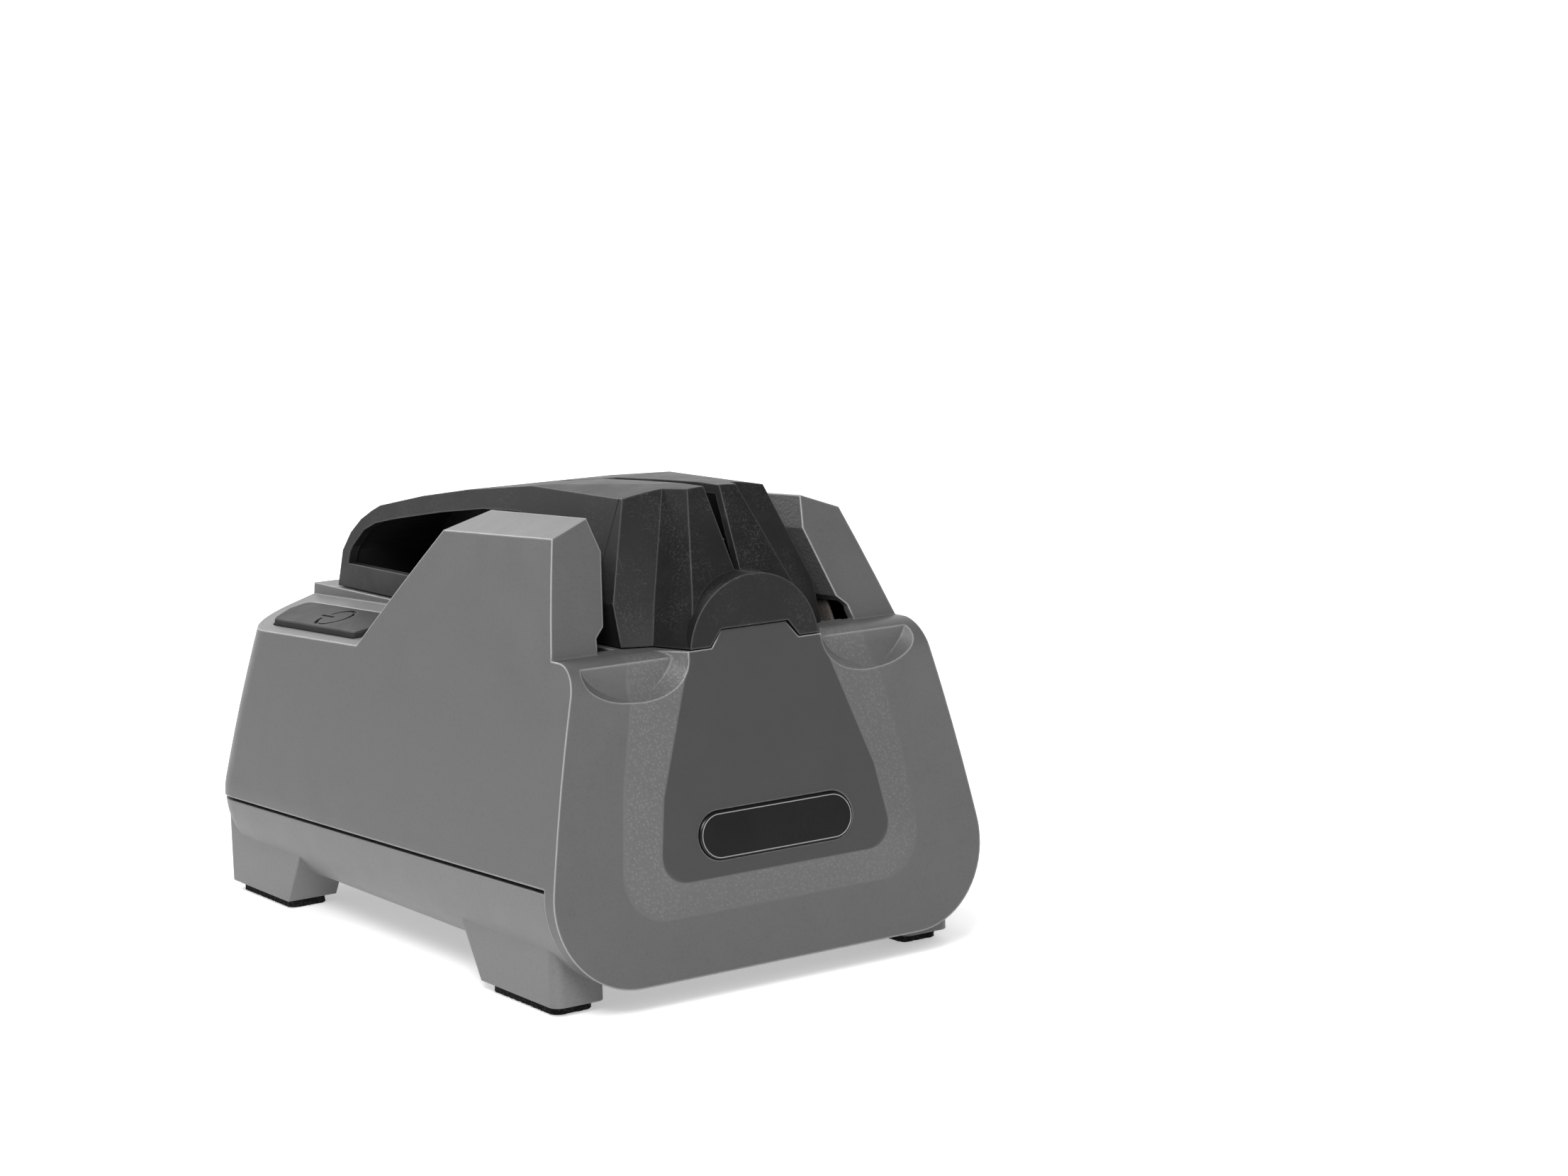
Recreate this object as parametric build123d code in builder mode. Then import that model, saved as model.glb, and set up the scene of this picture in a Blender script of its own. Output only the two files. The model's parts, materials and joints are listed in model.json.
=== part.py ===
from build123d import *
import os
from math import cos, radians, sin, tan

# Electric knife sharpener: two motor-driven abrasive discs under a lift-off knife guide.
# Millimetres, +Z up, +X to the right seen from the front, the front panel faces -Y.
# The origin is on the table, in the middle of the footprint.

os.makedirs("parts", exist_ok=True)

# ---------------------------------------------------------------- driving dimensions
WALL = 2.5                  # moulded wall
GAP = 0.3                   # clearance between pieces that meet
FIT = 0.05                  # radial clearance of a turning shaft
FAR = 200.0                 # cutters and blanks run out past the object
LENGTH = 177.6              # hull at belly height, front to back

# hull shared by the two housings
BELLY_Z = 6.0
BELLY_X = 61.1              # side line produced down to the belly
BELLY_R = 20.0
KNEE_X, KNEE_Z = 55.8, 35.0
MID_X, MID_Z = 48.4, 68.1
CREST_X, CREST_Z = 38.5, 101.2
PEAK_X, PEAK_Z = 36.0, 108.0
FACE_Y, FACE_LEAN = -87.4, 7.0      # front face at belly height, leans back
BACK_Y, BACK_LEAN = FACE_Y + LENGTH, 8.3    # back wall at belly height, leans forward
BACK_R = 13.0
SPLIT_Z, SPLIT_LEAN = 27.5, 1.5     # parting plane, falls to the rear
SPLIT_GAP = 0.9
FASCIA_T = 4.0              # depth of the part of the front that hangs below the split
NEST = 0.3                  # lower housing sits this far inside the hull
LIP_T, LIP_UP, LIP_DOWN = 1.3, 3.0, 5.0     # locating lip inside the split

# top of the upper housing
LEDGE_Z = 76.4              # ledge in front of the towers and seat of the knife guide
SEAT_X = 28.0
DECK_X, DECK_Z = 48.0, 69.6  # outer edge of the rear deck, just behind the towers
DECK_START = 18.7
DECK_FALL, DECK_RISE = 0.037, 0.31
TOWER_FRONT, TOWER_LEAN, TOWER_FALL = -69.0, 23.3, 0.04
TOWER_PEAK_Y = -58.5        # where the tower section below is true
TOWER_IN = ((34.3, 60.0), (34.3, 76.4), (33.7, 79.4), (31.3, 81.6), (27.1, 97.4), (28.7, 104.8))
TOWER_HOLLOW = ((32.7, 60.0), (32.7, 82.6), (29.4, 97.0), (30.9, 101.6))
TOWER_FACET = 0.367         # fall of the top facet outwards
TOWER_WALL = 2.2
WELL_FRONT, WELL_END, WELL_OUT_X, WELL_TOP_Z = -65.8, 6.0, 36.5, 79.4
DOME_R, DOME_X, DOME_WALL = 21.0, 24.2, 2.0     # cover of the motor, under the knife guide
FRONT_THICK, FRONT_LOW = 8.8, 62.0  # wall behind the rounded ledge and the finger scallops, above this height
LEDGE_R = 7.5               # rounding of the ledge's front edge, beside the raised panel

# front panel, scallops, badge
PANEL_Y, PANEL_LEAN = -79.4, 8.6    # raised panel at ledge height, leans more than the front
BAND = ((31.0, 76.4), (37.0, 49.0), (40.6, 19.6))
BAND_R = 12.0
PANEL = ((17.4, 76.4), (28.2, 46.0), (31.4, 27.2))
PANEL_R = 7.0
SCALLOP_X, SCALLOP_Y, SCALLOP_LONG, SCALLOP_HIGH, SCALLOP_DRAFT = 31.7, -72.0, 8.8, 3.9, 35.0
SCALLOP_WALL = ((-76.4, 75.0), (-77.1, 70.6), (-80.4, 66.6))     # (y, z) of its concave wall
BADGE_L, BADGE_H, BADGE_T, BADGE_SINK, BADGE_Z = 40.8, 10.6, 1.4, 0.8, 36.2
TAB_LOW_X, TAB_TOP_X, TAB_TOP_Z, TAB_T = 11.6, 8.6, 80.1, 2.6

# feet and housing screws
PAD_T, PAD_L, PAD_W, PAD_X, PAD_R = 2.2, 27.9, 10.4, 47.0, 2.5
PAD_Y = (FACE_Y + 26.5, BACK_Y - 23.5)
FOOT_IN_X, FOOT_OUT_X, FOOT_R = 40.4, 53.5, 2.5
FOOT_FRONT = ((FACE_Y + 9.9, 2.2), (FACE_Y + 42.1, 2.2), (FACE_Y + 53.8, 21.0), (FACE_Y + 9.9, 21.0))
FOOT_REAR = ((BACK_Y - 5.8, 2.2), (BACK_Y - 38.9, 2.2), (BACK_Y - 50.2, 21.0), (BACK_Y - 5.8, 21.0))
BOSS_X, BOSS_R, BOSS_TOP = 48.3, 3.6, 60.0
BOSSES = [(x, y) for x in (-BOSS_X, BOSS_X) for y in (FACE_Y + 25.4, BACK_Y - 28.2)]
SCREW_R, SCREW_HEAD_R, SCREW_HEAD_H, SCREW_SEAT_Z, SCREW_TOP_Z = 1.5, 3.0, 2.2, 9.0, 38.0

# knife guide
GUIDE_X, GUIDE_EDGE_X, GUIDE_CROWN_Z = 26.8, 19.0, 110.0
GUIDE_WALL = 2.2
GUIDE_BASE = LEDGE_Z + GAP
GUIDE_UP = GUIDE_CROWN_Z - GUIDE_BASE
GUIDE_KNEE_Z, GUIDE_EDGE_Z = GUIDE_BASE + 0.2793 * GUIDE_UP, GUIDE_BASE + 0.94 * GUIDE_UP
CROWN_R = (GUIDE_EDGE_X ** 2 + (GUIDE_CROWN_Z - GUIDE_EDGE_Z) ** 2) / (2 * (GUIDE_CROWN_Z - GUIDE_EDGE_Z))
TAIL = BACK_Y - 21.5        # rear end of the guide
GUIDE_JOIN = -55.0          # where the nose meets the straight part
# (y, share of the guide's height)
GUIDE_ROOF = ((-55.0, 1.0), (-40.0, 0.982), (-20.5, 0.952), (11.2, 0.8498), (32.0, 0.7568),
              (TAIL - 16.5, 0.6396), (TAIL - 12.8, 0.5916), (TAIL - 8.5, 0.5195), (TAIL - 5.0, 0.4144),
              (TAIL - 3.0, 0.2553), (TAIL - 0.3, 0.033), (TAIL, 0.0))
NOSE_LEVELS = (GUIDE_BASE, GUIDE_KNEE_Z, GUIDE_CROWN_Z)
NOSE_SIDE = ((26.8, -66.5), (26.8, -63.7), (18.2, -55.6))
NOSE_CREASE = ((20.4, -69.4), (17.7, -66.3), (8.8, -57.1))
NOSE_TIP = ((17.0, -79.2), (14.0, -76.1), (6.4, -63.6))
ARCH_R, ARCH_Z, ARCH_FRONT, ARCH_WALL = 17.2, 74.7, -79.4, 2.2
SLOT_LOW_Z, SLOT_LOW_X, SLOT_TOP_X, SLOT_END = GUIDE_BASE + 0.4505 * GUIDE_UP, 0.65, 2.2, 0.4
WINDOW = ((-15.0, 0.1862), (-15.0, 0.7598), (2.1, 0.7357), (22.4, 0.6607), (TAIL - 25.2, 0.5616),
          (TAIL - 16.5, 0.5105), (TAIL - 11.4, 0.4474), (TAIL - 7.7, 0.3183), (TAIL - 6.1, 0.1862))
WEB_X, WEB_START, WEB_END = 0.8, 3.0, TAIL - 4.7
ROD_R, ROD_L, ROD_LEAN, ROD_Z, ROD_Y, ROD_STEP = 2.0, 15.0, 24.0, 91.0, -62.8, 2.4
HOLDER_X, HOLDER_L, HOLDER_LOW, HOLDER_TOP, HOLDER_WING_X, HOLDER_WING_T = 7.0, 10.4, 79.0, 88.0, 12.5, 1.5

# drive
AXIS_Y, AXIS_Z = -32.8, 62.0
SHAFT_R, SHAFT_X = 2.0, 38.4
DISC_R, DISC_X, DISC_T = 32.0, 33.2, 0.8
HUB_R, HUB_T, HUB_BOSS_R, HUB_IN_X = 10.0, 2.2, 5.0, 25.4
NUT_R, NUT_T = 5.5, 3.4
MOTOR_R, MOTOR_X, CAN_T, CAP_T = 16.8, 20.0, 1.2, 4.0
MAGNET_T, MAGNET_START, MAGNET_END, MAGNET_HALF = 2.8, -11.0, 7.0, 9.0
ARMATURE_R, ARMATURE_START, ARMATURE_END, ARMATURE_SLOTS = 12.2, -10.0, 6.0, 7
BEARING_R, BEARING_L, BEARING_SEAT_R = 4.5, 3.0, 6.0
COMM_R, COMM_START, COMM_END = 4.5, 9.0, 14.0
BRUSH_W, BRUSH_L, BRUSH_X, BRUSH_BOX = 2.6, 5.0, 11.5, 1.1
FAN_HUB_R, FAN_R, FAN_START, FAN_END, FAN_BLADES = 4.5, 13.0, -15.6, -12.4, 9
BRACKET_X, BRACKET_T, BRACKET_HALF, BRACKET_FOOT = 10.0, 4.0, 24.0, 3.0
STRAP_T, EAR_T = 1.2, 1.5
STRAP_SCREW_X, STRAP_SCREW_Y, STRAP_SCREW_R, STRAP_SCREW_L = 8.0, 21.3, 1.1, 12.0
LINER_T, LINER_IN_X, LINER_OUT_X, LINER_R, LINER_HOLE_R = 1.4, 27.9, 42.2, 35.6, 5.7

# electrics
BUTTON = ((-45.0, 23.6), (-45.0, BACK_Y - 21.0), (-38.2, BACK_Y - 15.8), (-32.6, BACK_Y - 15.8),
          (-32.6, 23.6))
BUTTON_R, BUTTON_UP, BUTTON_RISE, BUTTON_GAP = 2.2, 1.6, 0.2, 0.4    # proud at its outer edge
FLANGE_OUT, FLANGE_T = 1.0, 1.2
STEM_X, STEM_Y, STEM_R, STEM_LOW = -38.6, BACK_Y - 42.2, 2.6, 56.0
COLLAR_R, COLLAR_Z, COLLAR_T = 5.0, 58.0, 1.4
ICON_R, ICON_W, ICON_DEEP, ICON_X, ICON_Y = 5.3, 0.9, 0.4, -39.1, BACK_Y - 43.7
SWITCH_L, SWITCH_W, SWITCH_LOW, SWITCH_TOP, PLUNGER_R, PLUNGER_TOP = 20.0, 8.0, 39.8, 49.8, 1.2, 54.0
SEAT_L, SEAT_T, SEAT_POST = 23.0, 1.3, 1.4
SPRING_R, SPRING_WIRE, SPRING_TURNS = 3.9, 0.4, 4
BOARD_L, BOARD_W, BOARD_T, BOARD_Y, BOARD_Z = 44.0, 60.0, 1.6, BACK_Y - 50.2, 17.0
BOARD_HOLE, POST_R = 4.0, 3.2
BOARD_SCREW_R, BOARD_SCREW_HEAD = 1.2, 2.4
INLET_X, INLET_Z, INLET_W, INLET_H, INLET_L, INLET_R, JACK_R = 24.0, 20.4, 11.0, 9.0, 12.0, 3.6, 2.6

FLOOR_Z = BELLY_Z + NEST + WALL
FACE_SLOPE, BACK_SLOPE = tan(radians(FACE_LEAN)), tan(radians(BACK_LEAN))
PANEL_SLOPE = tan(radians(PANEL_LEAN))
TAB_BACK = PANEL_Y + TAB_T + (TAB_TOP_Z - LEDGE_Z) * PANEL_SLOPE
SPLIT_SLOPE, TOWER_SLOPE = tan(radians(SPLIT_LEAN)), tan(radians(TOWER_LEAN))
DECK_LINE = DECK_START + DECK_Z     # y + z on the diagonal back of a tower
FACE_PLANE = Plane(origin=(0, FACE_Y, BELLY_Z), x_dir=(1, 0, 0), z_dir=(0, -1, FACE_SLOPE))
PANEL_PLANE = Plane(origin=(0, PANEL_Y, LEDGE_Z), x_dir=(1, 0, 0), z_dir=(0, -1, PANEL_SLOPE))
AXIS_PLANE = Plane(origin=(0, AXIS_Y, AXIS_Z), x_dir=(0, 1, 0), z_dir=(1, 0, 0))
SIDES = (("left", -1), ("right", 1))


# ---------------------------------------------------------------- helpers
def face_y(z):
    """Y of the front face at height z."""
    return FACE_Y + (z - BELLY_Z) * FACE_SLOPE


def back_y(z):
    """Y of the back wall at height z."""
    return BACK_Y - (z - BELLY_Z) * BACK_SLOPE


def split_z(y):
    """Height of the parting plane at y."""
    return SPLIT_Z - y * SPLIT_SLOPE


def deck_z(x, y):
    """Height of a rear deck at distance x from the middle plane."""
    return DECK_Z + (DECK_X - x) * DECK_RISE - (y - DECK_START) * DECK_FALL


def button_z(x, y):
    """Height of the button's top at distance x from the middle plane."""
    edge = -BUTTON[0][0]
    return deck_z(edge, y) + BUTTON_UP + (edge - x) * BUTTON_RISE


def guide_z(share):
    """Height at a share of the guide's own height."""
    return GUIDE_BASE + share * GUIDE_UP


def split_side(shift, far_z):
    """Outline of all that lies on one side of the parting plane, raised by shift."""
    return [(-FAR, split_z(-FAR) + shift), (FAR, split_z(FAR) + shift), (FAR, far_z), (-FAR, far_z)]


def xz(y):
    """Plane across the object at y; its sketches read as (x, z) and extrude forwards."""
    return Plane.XZ.offset(-y)


def on_face(x, z):
    """Place on the leaning front face of a point at (x, z)."""
    return (x, (z - BELLY_Z) / cos(radians(FACE_LEAN)))


def on_panel(x, z):
    """Place on the raised panel of a point at (x, z)."""
    return (x, (z - LEDGE_Z) / cos(radians(PANEL_LEAN)))


def ring(points):
    """Half an outline and its mirror image, as one closed ring."""
    return list(points) + [(-x, z) for x, z in reversed(points)]


def save(part, name):
    """Label a finished piece and write it."""
    part.label = name
    export_step(part, f"parts/{name}.step")


def prism_x(points, x_from, x_to, mode=Mode.ADD):
    """Extrude a (y, z) outline from one x to another."""
    with BuildSketch(Plane.YZ.offset(x_from)) as flat:
        Polygon(*points, align=None)
    extrude(flat.sketch, amount=x_to - x_from, mode=mode)


def prism_y(points, y_from, y_to, mode=Mode.ADD):
    """Extrude an (x, z) outline from one y to another."""
    with BuildSketch(xz(y_to)) as flat:
        Polygon(*points, align=None)
    extrude(flat.sketch, amount=y_to - y_from, mode=mode)


def box(low, high, mode=Mode.ADD):
    """Block between two corners."""
    with BuildSketch(Plane.XY.offset(low[2])) as flat:
        Polygon((low[0], low[1]), (high[0], low[1]), (high[0], high[1]), (low[0], high[1]), align=None)
    extrude(flat.sketch, amount=high[2] - low[2], mode=mode)


def rod_x(radius, x_from, x_to, mode=Mode.ADD):
    """Cylinder about the drive axis."""
    with BuildSketch(AXIS_PLANE.offset(x_from)) as flat:
        Circle(radius)
    extrude(flat.sketch, amount=x_to - x_from, mode=mode)


def rod_z(spots, radius, z_from, z_to, mode=Mode.ADD):
    """Upright cylinders at (x, y) spots."""
    with BuildSketch(Plane.XY.offset(z_from)) as flat:
        with Locations(*spots):
            Circle(radius)
    extrude(flat.sketch, amount=z_to - z_from, mode=mode)


def hull(inset, front, top):
    """Hull of the housings shrunk by inset; up to the towers its back edges are rounded."""
    with BuildPart() as blank:
        with BuildSketch(xz(FAR)) as outline:
            with BuildLine():
                floor = Line((inset - BELLY_X, BELLY_Z + inset), (BELLY_X - inset, BELLY_Z + inset))
                right = Line(floor @ 1, (KNEE_X - inset, KNEE_Z))
                bow = ThreePointArc(right @ 1, (MID_X - inset, MID_Z), (CREST_X - inset, CREST_Z))
                rise = Line(bow @ 1, (PEAK_X - inset, PEAK_Z))
                lid = Line(rise @ 1, (inset - PEAK_X, PEAK_Z))
                drop = Line(lid @ 1, (inset - CREST_X, CREST_Z))
                other = ThreePointArc(drop @ 1, (inset - MID_X, MID_Z), (inset - KNEE_X, KNEE_Z))
                Line(other @ 1, floor @ 0)
            make_face()
            fillet(outline.vertices().group_by(Axis.Y)[0], BELLY_R - inset)
        extrude(amount=2 * FAR)
        prism_x([(face_y(0) + front, 0), (face_y(top) + front, top), (back_y(top) - inset, top),
                 (back_y(0) - inset, 0)], -FAR, FAR, Mode.INTERSECT)
        if top < CREST_Z:
            rim = blank.faces().sort_by(Axis.Y)[-1].edges()
            fillet(rim - rim.group_by(Axis.Z)[-1], BACK_R - inset)
    return blank.part


def deck_space(side, drop):
    """Space above a rear deck, lowered by the wall for the hollow."""
    inner = SEAT_X - drop
    start = DECK_LINE - drop * 1.414
    with BuildPart() as space:
        with BuildSketch(xz(-FAR)):
            Polygon((side * inner, FAR), (side * inner, deck_z(inner, -FAR) - drop),
                    (side * FAR, deck_z(FAR, -FAR) - drop), (side * FAR, FAR), align=None)
        extrude(amount=2 * FAR, dir=(0, 1, -DECK_FALL))
        prism_x([(start - FAR, FAR), (start, 0), (FAR, 0), (FAR, FAR)], -FAR, FAR, Mode.INTERSECT)
    return space.part


def tower(side, hollow):
    """One tower, or the hollow inside it."""
    wall = TOWER_WALL if hollow else 0
    points = TOWER_HOLLOW if hollow else TOWER_IN
    top_x, top_z = points[-1]
    outline = list(points) + [(BELLY_X, top_z - TOWER_FACET * (BELLY_X - top_x)), (BELLY_X, points[0][1])]
    lift = (TOWER_PEAK_Y + FAR) * TOWER_FALL
    front = TOWER_FRONT + wall * 1.09
    start = DECK_LINE - wall * 1.414
    with BuildPart() as solid:
        with BuildSketch(xz(-FAR)):
            Polygon(*[(side * x, z + lift) for x, z in outline], align=None)
        extrude(amount=2 * FAR, dir=(0, 1, -TOWER_FALL))
        low, high = LEDGE_Z - 6, PEAK_Z + 4
        prism_x([(front + (low - LEDGE_Z) * TOWER_SLOPE, low), (front + (high - LEDGE_Z) * TOWER_SLOPE, high),
                 (start - high, high), (start - low, low)], -FAR, FAR, Mode.INTERSECT)
        add(hull(wall, 2, PEAK_Z - 0.5), mode=Mode.INTERSECT)
    return solid.part


def mouth(side):
    """Oval space, wider to the front, round a finger scallop and the inner end of the ledge's rounding."""
    with BuildPart() as space:
        with BuildSketch(xz(SCALLOP_Y)):
            with Locations((side * SCALLOP_X, LEDGE_Z)):
                Ellipse(SCALLOP_LONG, SCALLOP_HIGH)
        extrude(amount=1.6 * LEDGE_R, taper=-SCALLOP_DRAFT)
    return space.part


def ledge_round(side):
    """What the rounding takes off the ledge's front edge; it dies away before the raised panel."""
    reach = LEDGE_R * tan(radians((90 - FACE_LEAN) / 2))
    start = face_y(LEDGE_Z) + reach
    low = LEDGE_Z - reach * cos(radians(FACE_LEAN))
    bow = radians((90 - FACE_LEAN) / 2)
    with BuildPart() as cut:
        with BuildSketch(Plane.YZ.offset(side * SCALLOP_X)) as profile:
            with BuildLine():
                arc = ThreePointArc((start, LEDGE_Z),
                                    (start - LEDGE_R * sin(bow), LEDGE_Z - LEDGE_R * (1 - cos(bow))),
                                    (face_y(low), low))
                Polyline(arc @ 1, (-FAR, low), (-FAR, FAR), (start, FAR), arc @ 0)
            make_face()
        extrude(profile.sketch, amount=-side * SCALLOP_X)
        add(mouth(side), mode=Mode.INTERSECT)
        extrude(profile.sketch, amount=side * FAR)
    return cut.part


def scallop(side):
    """Shallow finger scallop in the rounded ledge, beside the raised panel."""
    top, middle, bottom = SCALLOP_WALL
    with BuildPart() as scoop:
        with BuildSketch(Plane.YZ.offset(-FAR)) as profile:
            with BuildLine():
                wall = ThreePointArc(top, middle, bottom)
                Polyline(wall @ 1, (-FAR, bottom[1]), (-FAR, top[1] + 3), (top[0] - 3.6, top[1] + 3),
                         wall @ 0)
            make_face()
        extrude(profile.sketch, amount=2 * FAR)
        add(mouth(side), mode=Mode.INTERSECT)
    return scoop.part


# ---------------------------------------------------------------- upper housing
with BuildPart() as hollow:
    add(hull(WALL, WALL, LEDGE_Z - WALL))
    for _, side in SIDES:
        add(deck_space(side, WALL), mode=Mode.SUBTRACT)
    box((-FAR, -FAR, FRONT_LOW), (FAR, face_y(LEDGE_Z) + FRONT_THICK, FAR), Mode.SUBTRACT)
    prism_x(split_side(0, -FAR), -FAR, FAR, Mode.SUBTRACT)
    rod_x(DOME_R - DOME_WALL, DOME_WALL - DOME_X, DOME_X - DOME_WALL)
    for _, side in SIDES:
        add(tower(side, True))

with BuildPart() as posts:
    rod_z(BOSSES, BOSS_R, 20, BOSS_TOP)
    add(hull(1.0, 1.0, LEDGE_Z - 1), mode=Mode.INTERSECT)
    prism_x(split_side(GAP, -FAR), -FAR, FAR, Mode.SUBTRACT)

with BuildPart() as upper:
    add(hull(0, 0, LEDGE_Z))
    for _, side in SIDES:
        add(deck_space(side, 0), mode=Mode.SUBTRACT)
    for _, side in SIDES:
        add(tower(side, False))
    rod_x(DOME_R, -DOME_X, DOME_X)
    with BuildSketch(FACE_PLANE) as band:
        Polygon(*[on_face(x, z) for x, z in ring(BAND)], align=None)
        fillet(band.vertices().group_by(Axis.Y)[0], BAND_R)
    with BuildSketch(PANEL_PLANE) as panel:
        Polygon(*[on_panel(x, z) for x, z in ring(PANEL)], align=None)
        fillet(panel.vertices().group_by(Axis.Y)[0], PANEL_R)
    loft(ruled=True)
    with BuildSketch(PANEL_PLANE) as tab:
        tab_side = [(TAB_LOW_X, LEDGE_Z - 2), (TAB_LOW_X, LEDGE_Z), (TAB_TOP_X, TAB_TOP_Z)]
        Polygon(*[on_panel(x, z) for x, z in ring(tab_side)], align=None)
    extrude(amount=-TAB_T)
    add(hollow.part, mode=Mode.SUBTRACT)
    split_front = split_z(FACE_Y + FASCIA_T)
    prism_x([(face_y(0) + FASCIA_T, 0), (face_y(split_front) + FASCIA_T, split_front), (FAR, split_z(FAR)),
             (FAR, 0)], -FAR, FAR, Mode.SUBTRACT)
    for _, side in SIDES:
        add(ledge_round(side), mode=Mode.SUBTRACT)
        add(scallop(side), mode=Mode.SUBTRACT)
        well = sorted((side * (SEAT_X + GAP), side * WELL_OUT_X))
        box((well[0], WELL_FRONT, LEDGE_Z - 2 * WALL), (well[1], WELL_END, WELL_TOP_Z), Mode.SUBTRACT)
    add(posts.part)
    rod_z(BOSSES, SCREW_R + FIT, 20, SCREW_TOP_Z + 1, Mode.SUBTRACT)
    with BuildSketch(PANEL_PLANE):
        with Locations(on_panel(0, BADGE_Z)):
            SlotOverall(BADGE_L + GAP, BADGE_H + GAP)
    extrude(amount=-BADGE_SINK, mode=Mode.SUBTRACT)
    with BuildSketch(Plane.XY.offset(60)) as opening:
        Polygon(*BUTTON, align=None)
        fillet(opening.vertices(), BUTTON_R)
        offset(amount=BUTTON_GAP)
    extrude(amount=30, mode=Mode.SUBTRACT)
save(upper.part, "upper_housing")

with BuildPart() as badge:
    with BuildSketch(PANEL_PLANE.offset(-BADGE_SINK)):
        with Locations(on_panel(0, BADGE_Z)):
            SlotOverall(BADGE_L, BADGE_H)
    extrude(amount=BADGE_T)
    chamfer(badge.faces().sort_by(Axis.Y)[0].edges(), 0.3)
save(badge.part, "badge_plate")

# ---------------------------------------------------------------- lower housing
with BuildPart() as lip:
    add(hull(NEST + WALL, FASCIA_T + NEST + WALL, 60))
    add(hull(NEST + WALL + LIP_T, FASCIA_T + NEST + WALL + LIP_T, 60), mode=Mode.SUBTRACT)
    prism_x([(-FAR, split_z(-FAR) + LIP_UP), (FAR, split_z(FAR) + LIP_UP), (FAR, split_z(FAR) - LIP_DOWN),
             (-FAR, split_z(-FAR) - LIP_DOWN)], -FAR, FAR, Mode.INTERSECT)

with BuildPart() as feet:
    for _, side in SIDES:
        start = sorted((side * FOOT_IN_X, side * FOOT_OUT_X))
        prism_x(FOOT_FRONT, start[0], start[1])
        prism_x(FOOT_REAR, start[0], start[1])
    fillet(feet.edges().filter_by(Axis.Z), FOOT_R)

with BuildPart() as lower:
    add(hull(NEST, FASCIA_T + NEST, 50))
    add(feet.part)
    add(hull(NEST + WALL, FASCIA_T + NEST + WALL, 60), mode=Mode.SUBTRACT)
    rod_z(BOSSES, BOSS_R, BELLY_Z + 6, 40)
    rod_z([(x * (BOARD_W / 2 - BOARD_HOLE), BOARD_Y + y * (BOARD_L / 2 - BOARD_HOLE))
           for x in (-1, 1) for y in (-1, 1)], POST_R, FLOOR_Z - 1, BOARD_Z)
    prism_x(split_side(-SPLIT_GAP, FAR), -FAR, FAR, Mode.SUBTRACT)
    add(lip.part)
    rod_z(BOSSES, SCREW_R + FIT, 0, 50, Mode.SUBTRACT)
    rod_z(BOSSES, SCREW_HEAD_R + FIT, 0, SCREW_SEAT_Z, Mode.SUBTRACT)
    rod_z([(x * (BOARD_W / 2 - BOARD_HOLE), BOARD_Y + y * (BOARD_L / 2 - BOARD_HOLE))
           for x in (-1, 1) for y in (-1, 1)], BOARD_SCREW_R + FIT, FLOOR_Z + 1, BOARD_Z + 1, Mode.SUBTRACT)
    with BuildSketch(xz(BACK_Y + 10)):
        with Locations((INLET_X, INLET_Z)):
            Circle(INLET_R + GAP)
    extrude(amount=30, mode=Mode.SUBTRACT)
save(lower.part, "lower_housing")

with BuildPart() as pads:
    with BuildSketch(Plane.XY):
        with Locations(*[(x * PAD_X, y) for x in (-1, 1) for y in PAD_Y]):
            RectangleRounded(PAD_W, PAD_L, PAD_R)
    extrude(amount=PAD_T)
save(pads.part, "foot_pads")

with BuildPart() as housing_screws:
    spots = BOSSES
    rod_z(spots, SCREW_R, SCREW_SEAT_Z - SCREW_HEAD_H, SCREW_TOP_Z)
    rod_z(spots, SCREW_HEAD_R, SCREW_SEAT_Z - SCREW_HEAD_H, SCREW_SEAT_Z)
    with BuildSketch(Plane.XY.offset(SCREW_SEAT_Z - SCREW_HEAD_H)):
        with Locations(*spots):
            Rectangle(3.6, 0.8)
            Rectangle(0.8, 3.6)
    extrude(amount=1.2, mode=Mode.SUBTRACT)
save(housing_screws.part, "housing_screws")


# ---------------------------------------------------------------- knife guide
def straight(inset):
    """Straight rear part of the guide, or its hollow."""
    slant = inset * 1.07
    low = GUIDE_BASE - (3 if inset else 0)
    with BuildPart() as solid:
        with BuildSketch(xz(FAR)):
            with BuildLine():
                side = Polyline((inset - GUIDE_X, GUIDE_KNEE_Z - inset * 0.2), (inset - GUIDE_X, low),
                                (GUIDE_X - inset, low), (GUIDE_X - inset, GUIDE_KNEE_Z - inset * 0.2),
                                (GUIDE_EDGE_X - slant, GUIDE_EDGE_Z))
                crown = ThreePointArc(side @ 1, (0, GUIDE_CROWN_Z), (slant - GUIDE_EDGE_X, GUIDE_EDGE_Z))
                Line(crown @ 1, side @ 0)
            make_face()
        extrude(amount=FAR - GUIDE_JOIN)
        outline = [(GUIDE_JOIN, low)]
        for y, share in GUIDE_ROOF:
            behind = min(1, max(0, (y - TAIL + 23.7) / 15))
            above = 1 if share > 0.1 else 0
            outline.append((y - inset * behind, guide_z(share) - inset * above))
        outline[-1] = (outline[-1][0], low)
        prism_x(outline, -FAR, FAR, Mode.INTERSECT)
        add(under_crown(inset), mode=Mode.INTERSECT)
    return solid.part


def under_crown(inset):
    """Space under the crowned top that runs through to the nose."""
    with BuildPart() as space:
        with BuildSketch(xz(FAR)):
            with Locations((0, GUIDE_CROWN_Z - CROWN_R)):
                Circle(CROWN_R - inset)
        extrude(amount=2 * FAR)
    return space.part


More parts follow.
